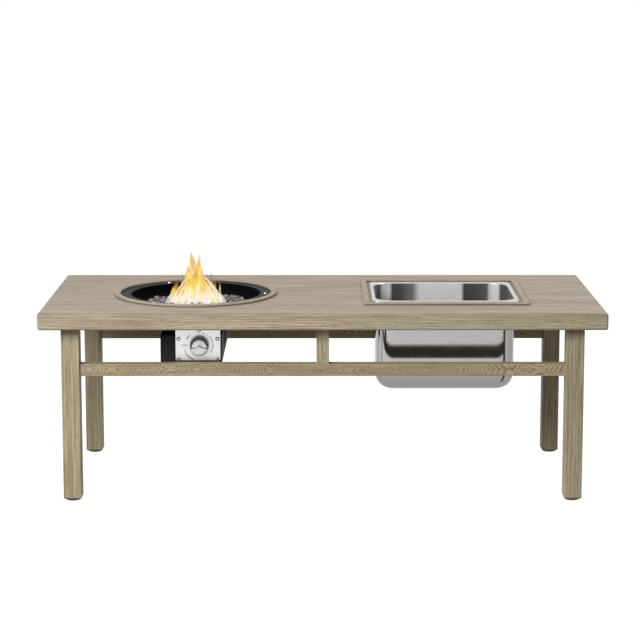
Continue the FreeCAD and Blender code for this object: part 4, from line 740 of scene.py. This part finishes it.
def makeFire(look):
    mesh = bmesh.new()
    rise, hot = mesh.verts.layers.float.new("rise"), mesh.verts.layers.float.new("hot")
    tallest = max(lick[2] for lick in look["licks"])
    for index, (x, y, height, half, leanX, leanY, sway, glow) in enumerate(look["licks"]):
        made = bmesh.ops.create_circle(mesh, cap_ends=True, segments=look["sides"], radius=1.0)["verts"]
        cap = made[0].link_faces[0]
        for level in range(look["levels"] + 1):
            share = level / look["levels"]
            wide = max(half * look["outline"][level], look["thinnest"]) * mm
            leaning = leanX * share ** look["leaning"]
            bend = math.sin(share * look["bends"] + index) * sway * share
            centre = Vector((x + leaning + bend, y + leanY * share, height * share)) * mm
            if level:
                cap = bmesh.ops.extrude_discrete_faces(mesh, faces=[cap])["faces"][0]
            turn = Matrix.Rotation(index * 1.3 + share * look["twist"], 3, "Z")
            for corner, vert in enumerate(cap.verts):
                angle = 2 * math.pi * corner / look["sides"]
                spot = Vector((math.cos(angle), math.sin(angle) * look["flatness"], 0)) * wide
                vert.co = turn @ spot + centre
                vert[rise] = share * glow * (0.5 + 0.5 * height / tallest)
                vert[hot] = 1 - share if glow < look["hotBelow"] else 0
    bmesh.ops.remove_doubles(mesh, verts=mesh.verts, dist=1e-6)
    upwards(mesh)
    shift(mesh, mesh.verts, (*fireBowl["axis"], look["foot"]))
    piece = finishPiece(mesh, "gasFlames", "table", ["burningGas"], ["flame"], 180)
    piece.visible_diffuse = piece.visible_shadow = piece.visible_glossy = False


makeFire(fire)
print("made the stones and the fire")

# Screws: pan head with a cross recess and a plain shank, which each screw node stretches to its length
screwHead = {"radius": 4.5 * mm, "height": 2.4 * mm, "shank": 2.2 * mm, "slotWidth": 1.1 * mm,
             "slotLength": 5.2 * mm, "slotDepth": 1.3 * mm, "middle": 2.7 * mm, "steps": 28,
             "turn": 0.5, "nextTurn": 1.1,  # how the first recess is turned, and by how much the next ones
             "outline": [(0, 1), (0.45, 0.97), (0.78, 0.8), (0.95, 0.45), (1, 0.1), (1, 0)]}
shankEnd = -1.0  # far below every head, so that the shank's end is known by its height


def screwMesh(look):
    mesh = bmesh.new()
    tall, wide, shank = look["height"], look["radius"], look["shank"]
    spinLine(mesh, [(wide * across, tall * up) for across, up in look["outline"]]
             + [(shank, 0), (shank, shankEnd), (0, shankEnd)], look["steps"])
    bmesh.ops.remove_doubles(mesh, verts=mesh.verts, dist=near / 4)
    upwards(mesh)
    # the head's outer ring takes the edge finish, a painted dark reflection on the faceplate screws
    for face in mesh.faces:
        if radiusOf(face.calc_center_median()) > look["middle"]:
            face.material_index = 1
    cross = bmesh.new()
    for size in ((look["slotLength"], look["slotWidth"]), (look["slotWidth"], look["slotLength"])):
        bar = bmesh.ops.create_cube(cross, size=1.0)["verts"]
        bmesh.ops.scale(cross, verts=bar, vec=(*size, look["slotDepth"] * 2))
        shift(cross, bar, (0, 0, tall))
    body = newObject("screwHead", asData(mesh, "screwHead"))
    tool = newObject("screwCross", asData(cross, "screwCross"))
    carve = body.modifiers.new("carve", "BOOLEAN")
    carve.operation = "DIFFERENCE"
    carve.solver = "EXACT"
    carve.use_self = True
    carve.object = tool
    carved = workedOut(body)
    bpy.data.objects.remove(tool)
    return carved


# A place on a circle round the bowl's axis, in millimetres
def roundBowl(radius, turn):
    x, y = fireBowl["axis"]
    return x / mm + radius * math.cos(math.radians(turn)), y / mm + radius * math.sin(math.radians(turn))


# Seats of each node's screws in millimetres with the way each head faces, then the shank's length, the
# finishes of the head's middle and edge, and the head's scale
zincHead = ["zincPlate"] * 2
screwPlan = {
    "bowl_flange_screws": ([(*roundBowl(195.5, turn), 526, "up") for turn in (-3, 117, 237)],
                           18, ["chromePlate"] * 2, 1.0),
    "underbody_screws": ([(*roundBowl(96, turn), 479.6, "down") for turn in (30, 150, 270)],
                         2.4, zincHead, 1.0),
    # the faceplate screws' dark head edges are a painted dark reflection
    "faceplate_screws": ([(x, -241, z, "front") for x in (-391.25, -285.75) for z in (382, 439)],
                         9, ["chromePlate", "darkReflectionChrome"], 1.2),
    "faceplate_tab_screws": ([(x, -230, 477, "down") for x in (-375.5, -301.5)],
                             18, zincHead, 1.0),
    "post_screws": ([(0, y, 345, "down") for y in (-268, 268)], 51, zincHead, 1.0),
    "bracket_screws": (
        [(x, y, 475.5, "down") for x in (-680, 680) for y in (-234.25, 234.25)]
        + [(x, y, 457.5, facing) for x in (-680, 680)
           for y, facing in ((-240.75, "back"), (240.75, "front"))],
        18, zincHead, 1.0),
}
faceTurns = {"up": 0, "down": math.pi, "front": math.pi / 2, "back": -math.pi / 2}


def makeScrews(plan):
    shape = screwMesh(screwHead)
    for node, (seats, shank, finish, headScale) in plan.items():
        mesh = bmesh.new()
        for index, (x, y, z, facing) in enumerate(seats):
            fresh = addShape(mesh, shape)
            heads = [vert for vert in fresh if vert.co.z > -near]
            bmesh.ops.scale(mesh, verts=heads, vec=(headScale, headScale, 1))
            for vert in fresh:
                if vert.co.z < shankEnd / 2:
                    vert.co.z = -shank * mm
            place = (Matrix.Translation((x * mm, y * mm, z * mm)) @ Matrix.Rotation(faceTurns[facing], 4, "X")
                     @ Matrix.Rotation(screwHead["turn"] + index * screwHead["nextTurn"], 4, "Z"))
            bmesh.ops.transform(mesh, verts=fresh, matrix=place)
        name = node.title().replace("_", "")
        finishPiece(mesh, name[0].lower() + name[1:], "table", finish, [node], 30)


makeScrews(screwPlan)
print("made the screws")

# The control knob: a round rim painted dark on its upper half as a reflection, a bright dish set low in it,
# and a half-moon grip whose upper edge waves and whose top wall is painted black as shade
knob = {"axis": (-334.5 * mm, -245.5 * mm, 421.6 * mm), "radius": 26 * mm, "base": 9 * mm, "dish": 21 * mm,
        "dishShift": (-0.8 * mm, -4.4 * mm), "dishSlope": 1.2 * mm, "dishDepth": 2.6 * mm,
        "hub": (4 * mm, 15.6 * mm), "hubRound": 0.6 * mm, "rimRound": 1.6 * mm,
        "grip": 25.6 * mm, "gripTall": 19 * mm, "gripLow": 1 * mm, "gripTop": -3 * mm, "gripRound": 8.4 * mm,
        "wave": 4.0 * mm, "waveReach": 15 * mm, "waveCuts": 30, "brow": 9 * mm, "steps": 72}


# The knob's base with its dish and hub, facing up
def knobBase(look):
    mesh = bmesh.new()
    bmesh.ops.create_circle(mesh, cap_ends=True, segments=look["steps"], radius=look["radius"])
    front = bmesh.ops.extrude_face_region(mesh, geom=mesh.faces[:])["geom"]
    shift(mesh, front, (0, 0, look["base"]))
    face = next(item for item in front if isinstance(item, bmesh.types.BMFace))
    bmesh.ops.inset_region(mesh, faces=[face], thickness=look["radius"] - look["dish"], depth=0)
    shift(mesh, face.verts, (*look["dishShift"], 0))
    bmesh.ops.inset_region(mesh, faces=[face], thickness=look["dishSlope"], depth=-look["dishDepth"])
    ring = edgesAt(mesh, look["base"], lambda spot: abs(radiusOf(spot) - look["radius"]) < near)
    bevelEdges(mesh, ring, look["rimRound"], 3)
    upwards(mesh)
    # faces on the rim's upper half take the dark chrome: a painted dark reflection
    for item in mesh.faces:
        spot = item.calc_center_median()
        inDish = spot.z < look["base"] - 0.5 * mm and item.normal.z > 0.5
        item.material_index = 2 if inDish else 0 if spot.y < look["gripTop"] else 1
    radius, tall = look["hub"]
    hub = bmesh.ops.create_cone(mesh, cap_ends=True, segments=24, radius1=radius, radius2=radius,
                                depth=tall)["verts"]
    shift(mesh, hub, (0, 0, tall / 2))
    bevelEdges(mesh, edgesAt(mesh, tall), look["hubRound"], 2)
    return mesh


# The half-moon grip with its waved upper edge, in two layers of which the upper is the brow, whose top
# wall is painted black as shade
def knobGrip(look):
    pad = bmesh.new()
    bmesh.ops.create_circle(pad, cap_ends=True, segments=look["steps"], radius=look["grip"])
    bmesh.ops.bisect_plane(pad, geom=[*pad.verts, *pad.edges, *pad.faces], plane_co=(0, look["gripTop"], 0),
                           plane_no=(0, 1, 0), clear_outer=True)
    edge = edgesAt(pad, 0, lambda spot: abs(spot.y - look["gripTop"]) < near)
    bmesh.ops.subdivide_edges(pad, edges=edge, cuts=look["waveCuts"])
    for vert in pad.verts:
        if abs(vert.co.y - look["gripTop"]) < near and abs(vert.co.x) < look["waveReach"]:
            vert.co.y += look["wave"] * math.cos(math.pi * vert.co.x / 2 / look["waveReach"]) ** 2
    tall = look["base"] + look["gripTall"]
    for rise in (tall - look["brow"], look["brow"]):
        top = [item for item in pad.faces if item.normal.z > 0.5 or len(pad.faces) == 1]
        shift(pad, bmesh.ops.extrude_face_region(pad, geom=top)["geom"], (0, 0, rise))
        pad.normal_update()
    upwards(pad)
    shift(pad, [vert for vert in pad.verts if vert.co.z < near], (0, 0, look["gripLow"]))
    # the brow's upward faces take black paint: painted shade along the grip's top wall
    for item in pad.faces:
        onBrow = item.normal.y > 0.5 and item.calc_center_median().z > tall - look["brow"]
        item.material_index = 3 if onBrow else 0
    lip = [edge for edge in edgesAt(pad, tall) if max(face.normal.y for face in edge.link_faces) < 0.5]
    bevelEdges(pad, lip, look["gripRound"], 6)
    return pad


def makeKnob(look):
    mesh = knobBase(look)
    mesh.from_mesh(asData(knobGrip(look), "knobGrip"))
    place = Matrix.Translation(look["axis"]) @ Matrix.Rotation(math.pi / 2, 4, "X")
    bmesh.ops.transform(mesh, verts=mesh.verts, matrix=place)
    finish = ["satinChrome", "darkReflectionChrome", "lacqueredDish", "stovePaint"]
    evenShade(finishPiece(mesh, "halfMoonKnob", "knob", finish, ["control_knob"], 50))


makeKnob(knob)

# Return spring behind the knob: five turns of round wire; in the valve it is pressed flatter as the knob goes
# in
spring = {"axis": (-334.5 * mm, 421.6 * mm), "front": -234.18 * mm, "back": -222.36 * mm, "coil": 6.4 * mm,
          "wire": 0.5 * mm, "wireSides": 10, "turns": 5, "turnSteps": 20, "travel": 3 * mm,
          "play": 0.002}  # share by which it is squashed further than the knob goes


def makeSpring(look):
    length = look["back"] - look["front"]
    steps = look["turns"] * look["turnSteps"]
    mesh = bmesh.new()
    ring = bmesh.ops.create_circle(mesh, segments=look["wireSides"], radius=look["wire"])["verts"]
    shift(mesh, ring, (look["coil"], look["wire"], 0))
    sweepRound(mesh, mesh.verts[:] + mesh.edges[:], (0, 1, 0), 2 * math.pi * look["turns"], steps,
               rise=(length - 2 * look["wire"]) / steps)
    bmesh.ops.holes_fill(mesh, edges=[edge for edge in mesh.edges if edge.is_boundary], sides=0)
    shift(mesh, mesh.verts, (look["axis"][0], look["front"], look["axis"][1]))
    upwards(mesh)
    piece = finishPiece(mesh, "knobSpring", "table", ["springWire"], ["stem_spring"], 60)
    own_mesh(piece)


makeSpring(spring)

# Marks printed on the faceplate round the knob, in millimetres: dashes, arcs and plain words
dial = {"centre": (-334.5, -241, 421.6), "ink": 0.12, "bolder": 0.12,
        # radius, start and end angle in degrees, width at the start and at the end, about the knob's axis
        "arcs": [(36.6, -33, -20, 1.8, 1.8), (37.2, -17, 7, 2.1, 2.1), (37, 12, 26, 2.1, 2.1),
                 (36, 28, 41, 1.9, 1.9), (34.6, 52, 58, 1.5, 1.5), (34.8, 67, 73, 2.1, 2.1)],
        "redArc": (42.8, 197, 247, 1.2, 3.6),
        "tick": (-2, 30.4, 1.9),  # place and radius
        # word, angle, radius, size, slant
        "words": [("OFF", 91, 37.6, 7.0, 3), ("HIGH", 144, 37.6, 7.0, 46), ("LOW", 181, 40.0, 6.6, 0)]}


def arcStrip(mesh, radius, start, end, widthA, widthB, depth):
    steps = max(2, int((end - start) / 3))  # one for each 3 degrees
    ends = [mesh.verts.new((radius + side, 0, 0)) for side in (-0.5, 0.5)]
    before = set(mesh.verts) - set(ends)
    sweepRound(mesh, [*ends, mesh.edges.new(ends)], (0, 0, 1), math.radians(end - start), steps)
    strip = [vert for vert in mesh.verts if vert not in before]
    for vert in strip:
        share = math.degrees(math.atan2(vert.co.y, vert.co.x)) / (end - start)
        width = widthA + (widthB - widthA) * share
        vert.co = vert.co.normalized() * (radius + width * (0.5 if radiusOf(vert.co) > radius else -0.5))
    bmesh.ops.rotate(mesh, verts=strip, cent=(0, 0, 0), matrix=Matrix.Rotation(math.radians(start), 3, "Z"))
    faces = list({face for vert in strip for face in vert.link_faces})
    shift(mesh, bmesh.ops.extrude_face_region(mesh, geom=faces)["geom"], (0, 0, depth))
    upwards(mesh)


def makeDial(look):
    thick = look["ink"]
    black, red = bmesh.new(), bmesh.new()
    for arc in look["arcs"]:
        arcStrip(black, *arc, thick)
    arcStrip(red, *look["redArc"], thick)
    x, y, radius = look["tick"]
    tick = bmesh.ops.create_cone(black, cap_ends=True, segments=3, radius1=radius, radius2=radius,
                                 depth=thick)["verts"]
    bmesh.ops.rotate(black, verts=tick, cent=(0, 0, 0), matrix=Matrix.Rotation(-math.pi / 2, 3, "Z"))
    shift(black, tick, (x, y, thick / 2))
    for word, turn, radius, tall, slant in look["words"]:
        text = bpy.data.curves.new("dialWord", "FONT")
        text.body = word
        text.size = tall
        text.extrude = thick / 2
        text.offset = look["bolder"]
        text.align_x = text.align_y = "CENTER"
        fresh = addShape(black, workedOut(newObject("dialWord", text)))
        angle = math.radians(turn)
        place = Matrix.Translation((radius * math.cos(angle), radius * math.sin(angle), thick / 2))
        bmesh.ops.transform(black, verts=fresh, matrix=place @ Matrix.Rotation(math.radians(slant), 4, "Z"))
    onPlate = (Matrix.Translation(Vector(look["centre"]) * mm) @ Matrix.Rotation(math.pi / 2, 4, "X")
               @ Matrix.Scale(mm, 4))
    for mesh, name, ink in ((black, "dialMarks", "blackInk"), (red, "dialRedArc", "redInk")):
        bmesh.ops.transform(mesh, verts=mesh.verts, matrix=onPlate)
        finishPiece(mesh, name, "table", [ink])


makeDial(dial)
print("made the knob and the dial")

# Camera fitted to the photograph's corners: its lens in pixels of the picture, place, pitch and turn in
# radians, and shift
view = {"lens": 1968.49, "place": (-17.8 * mm, -5487.9 * mm, 1456.6 * mm), "pitch": 0.1495, "turn": -0.002,
        "shift": -0.1, "sensor": 36, "picture": 640}
cameraData = bpy.data.cameras.new("camera")
cameraData.sensor_width = view["sensor"]
cameraData.lens = view["lens"] * view["sensor"] / view["picture"]
cameraData.shift_y = view["shift"]
camera = newObject("camera", cameraData)
camera.location = view["place"]
camera.rotation_euler = (math.pi / 2 - view["pitch"], 0, view["turn"])
scene.camera = camera

# Studio: white surroundings for the eye and for metal, softer light for everything else; the floor's
# paper is matt and grey in itself, and glows white where it is seen directly
studio = {"ambient": 0.3, "floorShade": "#7a7a78", "floorGlow": 0.97, "floorReach": 40, "aim": (0, 0, 0.4),
          # name, place, size, power in watts
          "lamps": [("keyLamp", (-1.9, -3.1, 2.7), (2.6, 2.0), 190.0),
                    ("backLamp", (1.5, 0.9, 2.6), (1.4, 1.2), 22.0)]}


def seenDirectly(add):
    path = add("LightPath").outputs
    both = add("Math", {0: path["Is Camera Ray"], 1: path["Is Glossy Ray"]}, operation="MAXIMUM")
    return add("Math", {0: both, 1: path["Is Transmission Ray"]}, operation="MAXIMUM")


world = bpy.data.worlds.new("studioWorld")
scene.world = world
addSky = freshTree(world)
strength = addSky("MapRange", {"Value": seenDirectly(addSky), "To Min": studio["ambient"], "To Max": 1.0})
addSky("OutputWorld", {"Surface": addSky("Background", {"Color": (1, 1, 1, 1), "Strength": strength})})

floorMesh = bmesh.new()
bmesh.ops.create_grid(floorMesh, x_segments=1, y_segments=1, size=studio["floorReach"])
floor = newObject("studioFloor", asData(floorMesh, "studioFloor"))
addPaper = newMaterial("studioFloor")[0]
matt = addPaper("BsdfDiffuse", {"Color": linear(studio["floorShade"])})
glow = addPaper("Emission", {"Color": (1, 1, 1, 1), "Strength": studio["floorGlow"]})
both = addPaper("AddShader", {0: matt, 1: glow})
addPaper("OutputMaterial", {
    "Surface": addPaper("MixShader", {0: seenDirectly(addPaper), 1: matt, 2: both})})
floor.data.materials.append(materials["studioFloor"])

for name, place, size, power in studio["lamps"]:
    lamp = bpy.data.lights.new(name, "AREA")
    lamp.shape = "RECTANGLE"
    lamp.size, lamp.size_y = size
    lamp.energy = power
    stand = newObject(name, lamp)
    stand.location = place
    stand.rotation_euler = (Vector(studio["aim"]) - Vector(place)).to_track_quat("-Z", "Y").to_euler()
scene.view_settings.view_transform = "Standard"
print("set the camera and the studio")
